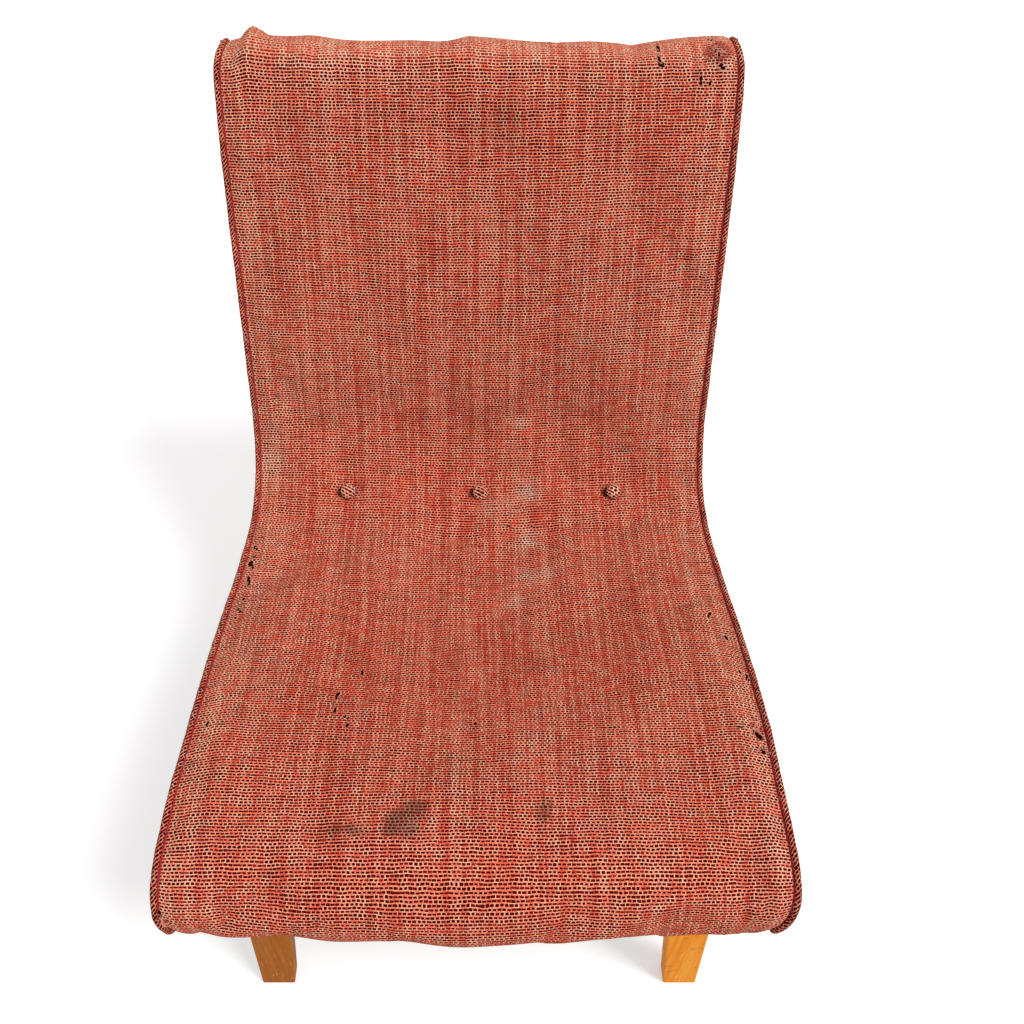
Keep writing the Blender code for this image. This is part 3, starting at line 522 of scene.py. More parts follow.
def weave(shader, cloth, gap_size=0.0, lightness=0.0):
    """A coarse open weave of uneven yarns: its gaps, the yarns' lightness with painted highlights, their
    height, and the gaps' colour in painted shade.
    """
    x, y, _ = shader.split(cloth)
    across = (x + (shader.noise(cloth, 90.0) - 0.5) * WARP_STRAY) / WARP_PITCH
    along = (y + (shader.noise(shader.combine(y, x, 7.0), 70.0) - 0.5) * WEFT_STRAY) / WEFT_PITCH
    row = shader.math("FLOOR", along)
    row_chance = shader.chance(row)
    shifted = across + (shader.math("FRACT", row * 0.5) + row_chance * ROW_STRAY)
    column = shader.math("FLOOR", shifted)
    yarn_chance = shader.chance(shader.math("FLOOR", across * 2.0))

    # Streaks run along the warp, lines along the weft, and bands are wider streaks
    streak = shader.noise(shader.combine(yarn_chance * FAR_APART, along * 0.018), 1.0, 1.0)
    line = shader.noise(shader.combine(across * 0.10, row_chance * FAR_APART), 1.0, 1.0)
    band = shader.noise(shader.combine(across * 0.21, along * 0.006), 1.0, 3.0)
    fuzz = shader.noise(cloth, 900.0, 2.0, 0.6) - 0.5
    inputs = {"Vector": shader.combine(column, row)}
    cell = shader.put("ShaderNodeTexWhiteNoise", inputs, noise_dimensions="2D")
    chance = Value(shader, cell.outputs["Value"])
    other = shader.split(Value(shader, cell.outputs["Color"]))[1] - 0.5

    side = abs(shader.math("FRACT", shifted) - 0.5)
    rise = abs(shader.math("FRACT", along) - 0.5)
    wide = GAP_WIDTH + gap_size + shader.ramp(streak, *NOISE_SPAN, 0.025, -0.05)
    wide = wide + (chance - 0.5) * GAP_WIDTH_SPREAD
    tall = GAP_HEIGHT + gap_size + shader.ramp(line, *NOISE_SPAN, 0.04, -0.05)
    tall = tall + other * GAP_HEIGHT_SPREAD
    distance = (side / wide) ** GAP_SQUARENESS + (rise / tall) ** GAP_SQUARENESS + fuzz * GAP_FUZZ
    gap = shader.ramp(distance, 0.80, 1.20, 1.0, 0.0)
    # Painted highlights: a pale rim round each gap, and a lighter crown on each weft yarn
    rim = shader.ramp(distance, 1.0, 1.9) * shader.ramp(distance, 2.6, 7.0, 1.0, 0.0)
    weft_crown = shader.ramp(rise, 0.22, 0.5)
    light = YARN_LIGHT + lightness + shader.ramp(streak, *NOISE_SPAN, -0.11, 0.11)
    light = light + weft_crown * 0.20 + rim * 0.30 + other * 0.40 + fuzz * 1.3
    light = light + shader.ramp(band, *NOISE_SPAN, -0.015, 0.015)
    height = (1.0 - gap) * shader.ramp(weft_crown, 0.0, 1.0, 0.7, 1.0)
    # The gaps' colour: painted shade in the hollows between the yarns, over their maroon
    depth = shader.blend(chance**1.5, SHADE_MAROON, GAP_SHADE_RED)
    return gap, light, height, depth


def yarn_colour(shader, light):
    return shader.colours(light, (0.0, CORAL_DEEP), (0.36, CORAL), (0.68, SALMON), (1.0, CREAM))


def dull_cloth(shader, colour, height):
    shader.set(Base_Color=colour, Roughness=0.95, Specular_IOR_Level=0.0)
    shader.bump(height, YARN_HEIGHT, 0.6)
    return shader.material


def woven_finish(name, gap_size=0.0, lightness=0.0, turned=0.0, dullness=0.0):
    """The weave by itself, for the welts, borders, back and buttons."""
    shader = Shader(name)
    cloth = shader.cloth()
    if turned:
        inputs = {"Vector": cloth, "Angle": math.radians(turned)}
        cloth = shader.value(0, "ShaderNodeVectorRotate", inputs, rotation_type="Z_AXIS")
    gap, light, height, depth = weave(shader, cloth, gap_size, lightness)
    grime = shader.ramp(shader.noise(cloth, 9.0, 4.0), 0.42, 0.75, 0.0, 0.45 + dullness)
    colour = shader.covered(yarn_colour(shader, light), (grime, DIRT), (gap, depth))
    return dull_cloth(shader, colour, height)


def cover_finish():
    """The front cover: the weave with painted highlights and shade, a browner seat, stains, holes and a crimson
    seam.
    """
    shader = Shader("worn_weave")
    cloth = shader.cloth()
    gap, light, height, depth = weave(shader, cloth)
    ragged = shader.noise(cloth, 160.0, 3.0) - 0.5
    cloudy = shader.noise(cloth, 14.0, 5.0, 0.6)
    patchy = shader.noise(cloth, 120.0, 4.0, 0.7)
    soil = shader.attribute("soil") * shader.ramp(cloudy, 0.3, 0.7, 0.65, 1.25)
    torn = shader.attribute("hole") + (shader.noise(cloth, 420.0, 2.0) - 0.5) * 1.1
    hole = shader.ramp(torn, 0.48, 0.56)
    colour = shader.covered(
        # Fade holds painted highlight on the top and edges, painted shade along the crease, and pale stains
        yarn_colour(shader, light + shader.attribute("fade")),
        (shader.ramp(soil + ragged * 0.5, 0.1, 0.95) * 0.75, DIRT),
        (shader.ramp(cloudy, 0.5, 0.78, 0.0, 0.12), DIRT),
        (shader.attribute("grey") * shader.ramp(patchy, 0.32, 0.56), GREY_STAIN),
        (shader.ramp(shader.attribute("bare") + ragged * 1.2, 0.35, 0.8, 0.0, 0.7), RUBBED_RED),
        # The gaps in painted shade, fewer where the weave is closed
        (gap * shader.ramp(shader.attribute("closed"), 0.0, 1.0, 1.0, 0.45), depth),
        # Painted shadow at the left of each button
        (shader.ramp(shader.attribute("button_shadow"), 0.25, 0.9, 0.0, 0.85), SHADE_MAROON),
        (shader.ramp(shader.attribute("edge") + ragged * 0.0009, 0.0013, 0.0019, 0.85, 0.0), CRIMSON),
        (shader.ramp(torn, 0.30, 0.44) * 0.5, CREAM),
        # Holes in painted shade, the hollow under the torn cloth
        (hole, SHADE_MAROON),
    )
    return dull_cloth(shader, colour, height - hole * 2.0)


def wood_finish(name, dark, mid, pale, roughness, worn):
    """Straight-grained wood, scuffed and scratched where it is worn, with painted shade on the chair's left
    side.
    """
    shader = Shader(name)
    place = shader.position()
    x, y, z = shader.split(place)

    def grained(across, along, detail, rough=0.5):
        """Noise that is drawn out along the legs and posts."""
        return shader.noise(shader.combine(x * across, y * across, z * along), 1.0, detail, rough)

    grain = grained(260.0, 9.0, 4.0, 0.6)
    bands = grained(60.0, 3.0, 2.0)
    colour = shader.colours(grain * 0.6 + bands * 0.4, (0.32, dark), (0.5, mid), (0.68, pale))
    height = grain
    rough = shader.ramp(grain, 0.3, 0.7, roughness + 0.08, roughness - 0.06)
    if worn:
        # Painted shade: the wood on the chair's left, turned from the light, is darkened
        left_shade = shader.ramp(x, -0.05, 0.05, 0.95, 0.0)
        colour = shader.blend(left_shade, colour, WOOD_LEFT_SHADE, "MULTIPLY")
        low = shader.ramp(z, 0.015, 0.17, 1.0, 0.12)
        scuff = shader.ramp(grained(150.0, 55.0, 5.0, 0.75), 0.62, 0.67) * low
        scratch = shader.ramp(grained(520.0, 26.0, 3.0, 0.8), 0.64, 0.68) * low
        mark = shader.math("MAXIMUM", scuff * 0.6, scratch * 0.8)
        dirty = shader.ramp(shader.noise(place, 70.0, 4.0, 0.7), 0.55, 0.72) * 0.35
        colour = shader.covered(colour, (mark, WOOD_RUBBED), (dirty, WOOD_DIRT))
        rough = rough + mark * 0.3
        height = height - mark
    shader.set(Base_Color=colour, Roughness=rough, Specular_IOR_Level=0.03)
    shader.bump(height, 0.0003, 0.5)
    return shader.material


def steel_finish(name, bright, rusty):
    """Steel with spots of rust, as strong as rusty says."""
    shader = Shader(name)
    place = shader.position()
    spots = shader.ramp(shader.noise(place, 180.0, 5.0, 0.7), 0.52, 0.66)
    colour = shader.blend(spots * rusty, bright, RUST)
    rough = shader.ramp(spots, 0.0, 1.0, 0.34, 0.8)
    metal = shader.ramp(spots * rusty, 0.0, 1.0, 1.0, 0.3)
    shader.set(Base_Color=colour, Roughness=rough, Metallic=metal)
    shader.bump(shader.noise(place, 900.0, 2.0), 0.0001, 0.4)
    return shader.material


def fibre_finish(name, dark, pale, size, pitch=0.0):
    """Felt where pitch is 0, and otherwise an open plain cloth with yarns that far apart."""
    shader = Shader(name)
    place = shader.cloth()
    fluff = shader.noise(place, size, 6.0, 0.7)
    colour = shader.colours(fluff, (0.3, dark), (0.7, pale))
    height = fluff
    if pitch:
        x, y, _ = shader.split(place)
        yarns = [abs(shader.math("SINE", axis * (math.pi / pitch))) for axis in (x, y)]
        height = shader.math("MAXIMUM", *yarns)
        between = (*(0.2 * part for part in dark[:3]), 1.0)
        colour = shader.blend(shader.ramp(height, 0.35, 0.75, 0.75, 0.0), colour, between)
    shader.set(Base_Color=colour, Roughness=0.95)
    shader.bump(height, 0.0005, 0.6)
    return shader.material


def add_piece(data, material, node=None):
    """A piece with its mesh's name, which stands for a CAD node where one is given."""
    piece = linked(data.name, data)
    data.materials.append(material)
    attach(piece, "root")
    if node:
        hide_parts(node)
    return piece


def add_cloth(node, points, cloth, material, masks=None):
    """A sheet that stands for a CAD node and has its name."""
    return add_piece(sheet_mesh(f"{node}_cloth", points, cloth, masks), material, node)


def sheet_mesh(name, points, cloth, masks=None):
    """A mesh of quads over a grid of points. Where cloth has one more column, the sheet is closed across it."""
    rows, columns = points.shape[:2]
    index = np.arange(rows * columns).reshape(rows, columns)
    if cloth.shape[1] > columns:
        index = np.hstack([index, index[:, :1]])

    def corners(grid):
        return np.stack([grid[:-1, :-1], grid[:-1, 1:], grid[1:, 1:], grid[1:, :-1]], axis=2)

    mesh = bpy.data.meshes.new(name)
    mesh.from_pydata(points.reshape(-1, 3).tolist(), [], corners(index).reshape(-1, 4).tolist())
    mesh.uv_layers.new(name="cloth").data.foreach_set("uv", corners(cloth).astype(np.float32).ravel())
    for mask, values in (masks or {}).items():
        mesh.attributes.new(mask, "FLOAT", "POINT").data.foreach_set("value", values.astype(np.float32).ravel())
    mesh.shade_smooth()
    return mesh


# The cover's grid. Its columns lie closer together at the edges, where it turns in under the welts
COVER_ROWS = 480
COVER_COLUMNS = 161
EDGE_COLUMNS = (-0.994, -0.9875, 0.9875, 0.994)
REAR_LAP = 0.004
TUCK_INSET = 0.0050
TUCK_DEPTH = 0.0048
COVER_U = np.sort(np.append(np.linspace(-1.0, 1.0, COVER_COLUMNS), EDGE_COLUMNS))
COVER_S = np.linspace(0.0, REAR_S + REAR_LAP, COVER_ROWS)


def cover_face():
    u, s = np.meshgrid(COVER_U, COVER_S)
    return pulled_out_of_true(on_profile(u, s, -crown(u, s) - relief(u, s), COVER_EDGE_INSET))


# Cloth simulation of the cover: a little too much cloth between its pinned edges, pressed out by the padding
SETTLE_ROW_STEP = 4
SETTLE_COLUMN_STEP = 2
SETTLE_FRAMES = 16
SETTLE_LIMIT = 0.0045
PINNED_U = 0.93
PINNED_END = 0.03
BUTTON_GRIP = 0.008
CLOTH_SETTINGS = {
    "quality": 6, "mass": 0.3, "air_damping": 4, "pin_stiffness": 1.0, "shrink_min": -0.012,
    "tension_stiffness": 30, "compression_stiffness": 30, "shear_stiffness": 8, "bending_stiffness": 2.5,
    "use_pressure": True, "uniform_pressure_force": 0.6,
}


def normals_of(points):
    across = np.gradient(points, axis=1)
    along = np.gradient(points, axis=0)
    normal = np.cross(across, along)
    return normal / np.linalg.norm(normal, axis=-1, keepdims=True)


def settled(points):
    """The cover's points after its cloth has settled, moved along its normals and by no more than the limit."""
    rows, columns = (
        np.unique(np.append(np.arange(0, len(line), step), len(line) - 1))
        for line, step in ((COVER_S, SETTLE_ROW_STEP), (COVER_U, SETTLE_COLUMN_STEP))
    )
    coarse = points[np.ix_(rows, columns)]
    u, s = np.meshgrid(COVER_U[columns], COVER_S[rows])
    held = smooth((np.abs(u) - PINNED_U) / 0.05)
    held = np.maximum(held, 1 - smooth(s / PINNED_END))
    held = np.maximum(held, smooth((s - REAR_S + PINNED_END) / 0.02))
    for place in BUTTON_PLACES:
        from_button = np.hypot(coarse[..., 0] - place, s - BUTTON_S)
        held = np.maximum(held, 1 - smooth((from_button - BUTTON_GRIP) / 0.006))
    mesh = sheet_mesh("settling", coarse, stacked(u, s))
    trial = linked("settling", mesh)
    pins = trial.vertex_groups.new(name="pins")
    for number, weight in enumerate(held.ravel()):
        if weight > 0:
            pins.add([number], float(weight), "REPLACE")
    cloth = trial.modifiers.new("cloth", "CLOTH")
    for name, value in CLOTH_SETTINGS.items():
        setattr(cloth.settings, name, value)
    cloth.settings.vertex_group_mass = "pins"
    cloth.settings.effector_weights.gravity = 0.0
    cloth.collision_settings.use_collision = False
    cloth.point_cache.frame_start = 1
    cloth.point_cache.frame_end = SETTLE_FRAMES
    scene = bpy.context.scene
    for number in range(1, SETTLE_FRAMES + 1):
        scene.frame_set(number)
    evaluated = trial.evaluated_get(bpy.context.evaluated_depsgraph_get())
    rested = np.empty(len(mesh.vertices) * 3, np.float32)
    evaluated.data.vertices.foreach_get("co", rested)
    scene.frame_set(1)
    bpy.data.objects.remove(trial)
    bpy.data.meshes.remove(mesh)
    moved = ((rested.reshape(coarse.shape) - coarse) * normals_of(coarse)).sum(axis=-1)
    moved = SETTLE_LIMIT * np.tanh(moved / SETTLE_LIMIT)
    wide = np.array([np.interp(COVER_U, COVER_U[columns], row) for row in moved])
    fine = np.array([np.interp(COVER_S, COVER_S[rows], column) for column in wide.T]).T
    return points + normals_of(points) * fine[..., None]


# Marks of wear, in pixels of the photograph: (column, row, radius in metres, strength)
DARK_STAINS = (
    (399, 820, 0.0100, 0.95), (413, 809, 0.0085, 0.95), (409, 829, 0.0085, 0.85), (422, 806, 0.0060, 0.75),
    (390, 828, 0.0065, 0.75), (336, 830, 0.0065, 0.80), (350, 829, 0.0060, 0.80), (363, 831, 0.0050, 0.60),
    (545, 805, 0.0065, 0.80), (543, 816, 0.0070, 0.75), (766, 912, 0.018, 0.35), (640, 770, 0.035, 0.35),
    (688, 474, 0.018, 0.5), (300, 126, 0.030, 0.30), (400, 122, 0.032, 0.34), (500, 126, 0.032, 0.34),
    (600, 124, 0.030, 0.30), (440, 760, 0.040, 0.25), (640, 700, 0.035, 0.2), (250, 700, 0.03, 0.2),
)
PALE_STAINS = (
    (519, 423, 0.006, 0.22), (269, 463, 0.020, 0.12), (300, 400, 0.03, 0.06), (620, 330, 0.04, 0.05),
)
GREY_STAINS = (
    (528, 491, 0.010, 0.85), (489, 510, 0.008, 0.55), (510, 508, 0.008, 0.50), (530, 542, 0.009, 0.85),
    (546, 574, 0.008, 0.75), (529, 577, 0.008, 0.80), (517, 602, 0.007, 0.75), (519, 423, 0.006, 0.55),
    (269, 463, 0.016, 0.40), (408, 826, 0.007, 0.20),
)
# Holes and slits: (column, row, columns to the right, rows down, radius in metres)
HOLES = (
    (656, 46, 2, 6, 0.0016), (658, 54, 2, 5, 0.0018), (660, 62, 1, 4, 0.0026), (721, 65, 2, 2, 0.0024),
    (709, 39, 2, 1, 0.0018), (715, 50, 4, 5, 0.0018), (709, 83, 1, 1, 0.0012), (701, 78, 1, 8, 0.0012),
    (709, 614, 0, 3, 0.0020), (726, 636, 1, 3, 0.0022), (746, 675, 1, 5, 0.0024), (740, 672, 1, 1, 0.0012),
    (756, 733, 3, 5, 0.0042), (753, 718, 4, 1, 0.0013), (763, 751, 1, 1, 0.0030), (765, 746, 1, 1, 0.0014),
    (738, 726, 2, 1, 0.0012), (256, 546, 1, 4, 0.0022), (254, 556, 1, 1, 0.0012), (250, 563, 1, 5, 0.0034),
    (248, 577, 1, 7, 0.0024), (243, 598, 1, 2, 0.0015), (239, 610, 1, 2, 0.0020), (236, 617, 1, 1, 0.0020),
    (266, 563, 1, 1, 0.0012), (361, 671, 1, 3, 0.0018), (337, 694, 0, 4, 0.0024), (335, 708, 1, 3, 0.0016),
    (346, 716, 1, 3, 0.0019), (347, 724, 1, 2, 0.0018), (476, 723, 1, 2, 0.0016), (208, 723, 0, 3, 0.0016),
    (508, 525, 1, 1, 0.0013), (531, 525, 1, 2, 0.0017), (501, 534, 1, 0, 0.0013), (153, 912, 7, 6, 0.0024),
)
BARE_PATCHES = ((718, 52, 0.0120, 1.1), (757, 730, 0.009, 0.8), (165, 922, 0.006, 0.7))

# Painted shadow at the left of each button, on its side away from the light, where the cloth dives in behind it
BUTTON_SHADOW_SHIFT = 0.0100
BUTTON_SHADOW_SPREAD = 0.0058


class Spots:
    """Finds where on the cloth a pixel of the photograph lies."""

    def __init__(self, points):
        self.points = points
        column, row = in_photo(points)
        seen = ((points - np.array(CAMERA_PLACE)) * normals_of(points)).sum(axis=-1) < 0
        self.column = np.where(seen, column, 1e6)
        self.row = row
        self.x = points[..., 0]
        self.s = np.broadcast_to(COVER_S[:, None], self.x.shape)

    def nearest(self, column, row):
        distance = (self.column - column) ** 2 + (self.row - row) ** 2
        return np.unravel_index(np.argmin(distance), distance.shape)

    def away(self, first, last=None):
        """Distance on the cloth from a pixel, or from the line between two pixels."""
        here = stacked(self.x, self.s)
        start, end = (here[self.nearest(*pixel)] for pixel in (first, last or first))
        run = end - start
        t = np.clip(((here - start) @ run) / max(run @ run, 1e-12), 0.0, 1.0)
        return np.linalg.norm(here - start - t[..., None] * run, axis=-1)


def flat_spots(spots, marks, core, fall):
    """Marks with an even middle and a rim that fades, the strongest at each point."""
    level = np.zeros_like(spots.x)
    for column, row, radius, strength in marks:
        away = spots.away((column, row))
        level = np.maximum(level, strength * np.clip(core - fall * away / radius, 0, 1))
    return level


def cover_masks(spots):
    """How worn each point of the cover is, and where light and shade are painted on it. Fade is in steps of
    lightness, and edge in metres from the seam.
    """
    x, s = spots.x, spots.s
    u = np.broadcast_to(COVER_U[None, :], x.shape)
    # Fade: painted highlight along the top roll; paler edges, partly wear and partly painted highlight; a
    # browner seat; painted shade along the crease
    fade = 0.12 * smooth((s - ROLL_S + 0.035) / 0.05)
    fade += 0.10 * smooth((np.abs(u) - 0.84) / 0.1)
    fade -= 0.06 * bell(s - SEAT_FLAT_S, 0.10) * (1 - smooth((np.abs(u) - 0.6) / 0.2))
    fade -= 0.07 * bell(s - BUTTON_S, 0.03)
    for column, row, radius, strength in PALE_STAINS:
        fade = fade + strength * bell(spots.away((column, row)), radius)
    hole, grey, button_shadow = (np.zeros_like(x) for _ in range(3))
    for column, row, right, down, radius in HOLES:
        distance = spots.away((column, row), (column + right, row + down))
        hole = np.maximum(hole, np.clip(1 - distance / (2 * radius), 0, 1))
    for column, row, radius, strength in GREY_STAINS:
        grey = np.maximum(grey, strength * bell(spots.away((column, row)), radius))
    # Painted shadow at the left of each button
    for place in BUTTON_PLACES:
        button_shadow = np.maximum(button_shadow, bell(np.hypot(x - place + BUTTON_SHADOW_SHIFT, s - BUTTON_S), BUTTON_SHADOW_SPREAD))
    y, _, _ = track(s)
    edge = (1 - np.abs(u)) * (half_width(y) - COVER_EDGE_INSET)
    return {
        "soil": flat_spots(spots, DARK_STAINS, 1.4, 0.7),
        "fade": fade,
        "hole": hole,
        "bare": flat_spots(spots, BARE_PATCHES, 1.2, 0.6),
        "edge": np.where(s < REAR_S, edge, 1.0),
        "closed": 0.25 * bell(s - BUTTON_S, 0.02) + smooth((s - ROLL_S) / 0.03) * 0.5,
        "grey": grey,
        "button_shadow": button_shadow,
    }


def tucked(points):
    """The cover with one more column at each side, turned down behind the welt."""
    s = COVER_S[:, None]
    ends = [pulled_out_of_true(on_profile(side, s, TUCK_DEPTH, TUCK_INSET)) for side in (-1.0, 1.0)]
    return np.concatenate([ends[0], points, ends[1]], axis=1)


def widened(values):
    return np.concatenate([values[:, :1], values, values[:, -1:]], axis=1)


def make_cover():
    points = cover_face()
    points = settled(points)
    spots = Spots(points)
    masks = {name: widened(values) for name, values in cover_masks(spots).items()}
    cloth = widened(cloth_coordinates(*np.meshgrid(COVER_U, COVER_S)))
    return add_cloth("front_cover", tucked(points), cloth, cover_finish(), masks), spots


PIPING_SIDES = 14
PIPING_ROWS = 420


def make_piping(side_name, side, material):
    """A round welt with a slightly uneven cord inside, closed at both ends."""
    s = np.concatenate([[0.0], np.linspace(0.0, REAR_S, PIPING_ROWS), [REAR_S]])
    size = np.concatenate([[0.0], np.ones(PIPING_ROWS), [0.0]])
    radius = WELT_RADIUS * size * (1 + 0.035 * np.sin(173 * s + side) + 0.025 * np.sin(411 * s))
    turn = -2 * math.pi * np.arange(PIPING_SIDES + 1) / PIPING_SIDES
    _, _, heading = track(s)
    normal = stacked(np.zeros_like(s), -np.sin(heading), np.cos(heading))
    centre = on_profile(side, s, WELT_DEPTH, WELT_RADIUS)
    wave = 0.0004 * np.sin(37 * s + 2 * side)
    centre[:, 0] -= side * np.abs(wave)
    up = radius[:, None] * np.sin(turn[:-1])
    points = centre[:, None, :] + up[..., None] * normal[:, None, :]
    points[..., 0] += radius[:, None] * np.cos(turn[:-1])
    points = pulled_out_of_true(points)
    cloth = stacked(*np.broadcast_arrays(turn[None, :] * WELT_RADIUS, s[:, None]))
    add_cloth(f"piping_{side_name}", points, cloth, material)


BORDER_ROWS = 260
BORDER_COLUMNS = 26
BORDER_TUCK = 0.0055
BORDER_SLACK = 0.0009
BORDER_OVER_FRAME = 0.0005
NOSE_BEYOND_RAIL = 0.016


def make_border(side_name, side, material):
    """The side panel, ruled between the welt's line and the underside and rear face."""
    y, z, heading = track(TRACK_S)

    def inside(depth):
        return stacked(y + depth * np.sin(heading), z - depth * np.cos(heading))

    seam = TRACK_S <= APEX_S
    outer = inside(BORDER_TUCK)[seam]
    rear = inside(GAP)[TRACK_S >= APEX_S][::-1]
    front_y = np.linspace(NOSE_START_Y, rear[0, 0], 200)[:-1]
    inner = np.concatenate([stacked(front_y, underside(front_y)), rear])
    length = np.append(0.0, np.cumsum(np.linalg.norm(np.diff(inner, axis=0), axis=1)))
    corner = length[len(front_y)]
    outer_keys = (0.0, CREST_S, SEAT_S, CREASE_S, BACK_FOOT_S, APEX_S)
    inner_keys = (0.0, 0.03, 0.09, corner - 0.10, corner + 0.05, length[-1])
    outer_s = np.linspace(0.0, APEX_S, BORDER_ROWS)
    inner_s = np.interp(outer_s, outer_keys, inner_keys)
    starts = stacked(*(np.interp(outer_s, TRACK_S[seam], outer[:, axis]) for axis in (0, 1)))
    ends = stacked(*(np.interp(inner_s, length, inner[:, axis]) for axis in (0, 1)))
    share = np.linspace(0.0, 1.0, BORDER_COLUMNS)[None, :, None]
    flat = starts[:, None, :] * (1 - share) + ends[:, None, :] * share
    y, z = flat[..., 0], flat[..., 1]
    pucker = 0.0006 * np.sin(60 * y + 40 * z + side) + 0.0005 * np.sin(140 * y - 25 * z)
    fade = smooth(share[..., 0] / 0.15) * (1 - smooth((share[..., 0] - 0.85) / 0.15))
    x = side * (half_width(y) - BORDER_INSET - (BORDER_SLACK + 0.7 * pucker) * fade)
    points = pulled_out_of_true(stacked(x, y, z))

    # It stays outside the frame, but may draw in at the nose, where there is no rail behind it
    ahead = smooth((NOSE_START_Y - NOSE_BEYOND_RAIL - points[..., 1]) / 0.02)
    frame_side = half_width(points[..., 1]) - FRAME_INSET + BORDER_OVER_FRAME - 0.02 * ahead
    points[..., 0] = side * np.maximum(side * points[..., 0], frame_side)
    cloth = flat
    if side > 0:
        points, cloth = points[:, ::-1], cloth[:, ::-1]
    border = add_cloth(f"side_border_{side_name}", points, cloth, material)
    across, along = cloth[:-1, 1:] - cloth[:-1, :-1], cloth[1:, :-1] - cloth[:-1, :-1]
    area = float(np.abs(across[..., 0] * along[..., 1] - across[..., 1] * along[..., 0]).sum())


BACK_DEPTH = 0.0004
BACK_TURN_IN = 0.004
BACK_STEP = 0.0006


def make_back_cover(material):
    """Outside back, blind-stitched under the end of the front cover and turned in at its sides."""
    u, s = np.meshgrid(np.linspace(-1.0, 1.0, 90), np.linspace(REAR_S - 0.001, END_S, 190))
    edge = np.maximum(0.0, (np.abs(u) - 0.985) / 0.015)
    slack = 0.0008 * np.sin(33 * u + 5 * s) * np.sin(9 * s + 1) + 0.0006 * np.sin(71 * u - 12 * s)
    within = 1 - smooth((np.abs(u) - 0.8) / 0.2)
    above_foot = smooth((END_S - s) / 0.05)
    below_seam = smooth((s - REAR_S) / 0.002)
    depth = BACK_DEPTH + BACK_TURN_IN * edge**2 - slack * within * above_foot - BACK_STEP * below_seam
    points = pulled_out_of_true(on_profile(u, s, depth, BORDER_INSET + 0.0001))
    cover = add_cloth("back_cover", points, stacked(points[..., 0], s), material)
    END_S - REAR_S


BUTTON_SINK = 0.0040
BUTTON_SIDES = 48
BUTTON_ANGLES = (0, 8, 16, *range(25, 125, 9))
BUTTON_TUCK = 0.25
PLEATS = 13
PLEAT_DEPTH = 0.022


def make_buttons(material):
    """Domed moulds covered in the weave, with small pleats at the rim where it is drawn in behind."""
    turn = 2 * math.pi * np.arange(BUTTON_SIDES + 1) / BUTTON_SIDES
    angle = np.radians(np.array(BUTTON_ANGLES))
    quarter = math.pi / 2
    radius = BUTTON_RADIUS * np.sin(np.minimum(angle, quarter))
    radius = radius * (1 - BUTTON_TUCK * np.maximum(angle - quarter, 0))
    radius[0] = 0.00001
    height = BUTTON_HEIGHT * (0.25 + 0.75 * np.cos(angle))
    rim = smooth((angle - 0.9) / 0.7)
    y, z, heading = (float(value) for value in track(BUTTON_S))
    for place, name in zip(BUTTON_PLACES, ("left", "centre", "right")):
        pleats = 1 - PLEAT_DEPTH * rim[:, None] * (0.5 + 0.5 * np.sin(PLEATS * turn[:-1] + place * 9))
        local_x = radius[:, None] * np.cos(turn[:-1]) * pleats
        local_y = radius[:, None] * np.sin(turn[:-1]) * pleats
        crown_there = float(crown(np.array(place / half_width(y)), np.array(BUTTON_S)))
        local_z = height[:, None] + crown_there + BUTTON_RADIUS * 0.08 - BUTTON_SINK
        points = stacked(
            place + local_x,
            y + local_y * math.cos(heading) - local_z * math.sin(heading),
            z + local_y * math.sin(heading) + local_z * math.cos(heading),
        )
        run = angle[:, None] * BUTTON_RADIUS
        cloth = stacked(run * np.cos(turn) + place * 3, run * np.sin(turn)) * 0.7
        add_cloth(f"button_{name}", points[::-1], cloth[::-1], material)


def slab(name, lengths, outer, inner):
    """A closed layer over the chair between two depths, which are functions of (u, s). It follows the cover."""
    u = np.linspace(-1.0, 1.0, PAD_COLUMNS)
    loop = np.concatenate([u, u[::-1]])
    s = np.concatenate([lengths[:1], lengths, lengths[-1:]])
    u_grid, s_grid = np.meshgrid(loop, s)
    on_top = np.arange(len(loop)) < len(u)
    depth = np.where(on_top[None, :], outer(u_grid, s_grid), inner(u_grid, s_grid))
    middle = (outer(u_grid, s_grid) + inner(u_grid, s_grid)) / 2
    depth[0], depth[-1] = middle[0], middle[-1]
    points = on_profile(u_grid, s_grid, depth, PAD_EDGE_INSET)
    pulled = on_top[None, :] | (s_grid < CREST_S)
    pulled[-1] = False
    points = np.where(pulled[..., None], pulled_out_of_true(points), points)
    below = (s_grid < FOREMOST_S) & ~on_top[None, :]
    front_y = on_profile(0.0, FOREMOST_S, PAD_BOTTOM, 0.0)[1]
    points[..., 1] = np.where(below, np.maximum(points[..., 1], front_y), points[..., 1])
    across = np.append(loop, loop[0]) * SEAT_WIDTH / 2
    cloth = stacked(*np.meshgrid(across, s))
    return sheet_mesh(name, points, cloth)


CLIP_TURN_SHARE = 0.78
SPRING_REACH = 0.06
FRONT_CLIP_S = CREST_S - arc(NOSE_TOP_RADIUS, NOSE_TOP_TURN) * CLIP_TURN_SHARE
PAD_START_S = FOREMOST_S * 0.5
PAD_COLUMNS = 61
# Paddings: (fill, how many springs carry it)
PADS = {"seat": (0.35, 4), "back": (0.55, 3)}


def spring_hang(s):
    run = np.clip((s - FRONT_CLIP_S) / (CREASE_S + SPRING_REACH - FRONT_CLIP_S), 0.0, 1.0)
    return SPRING_SAG * np.sin(math.pi * run) ** 2


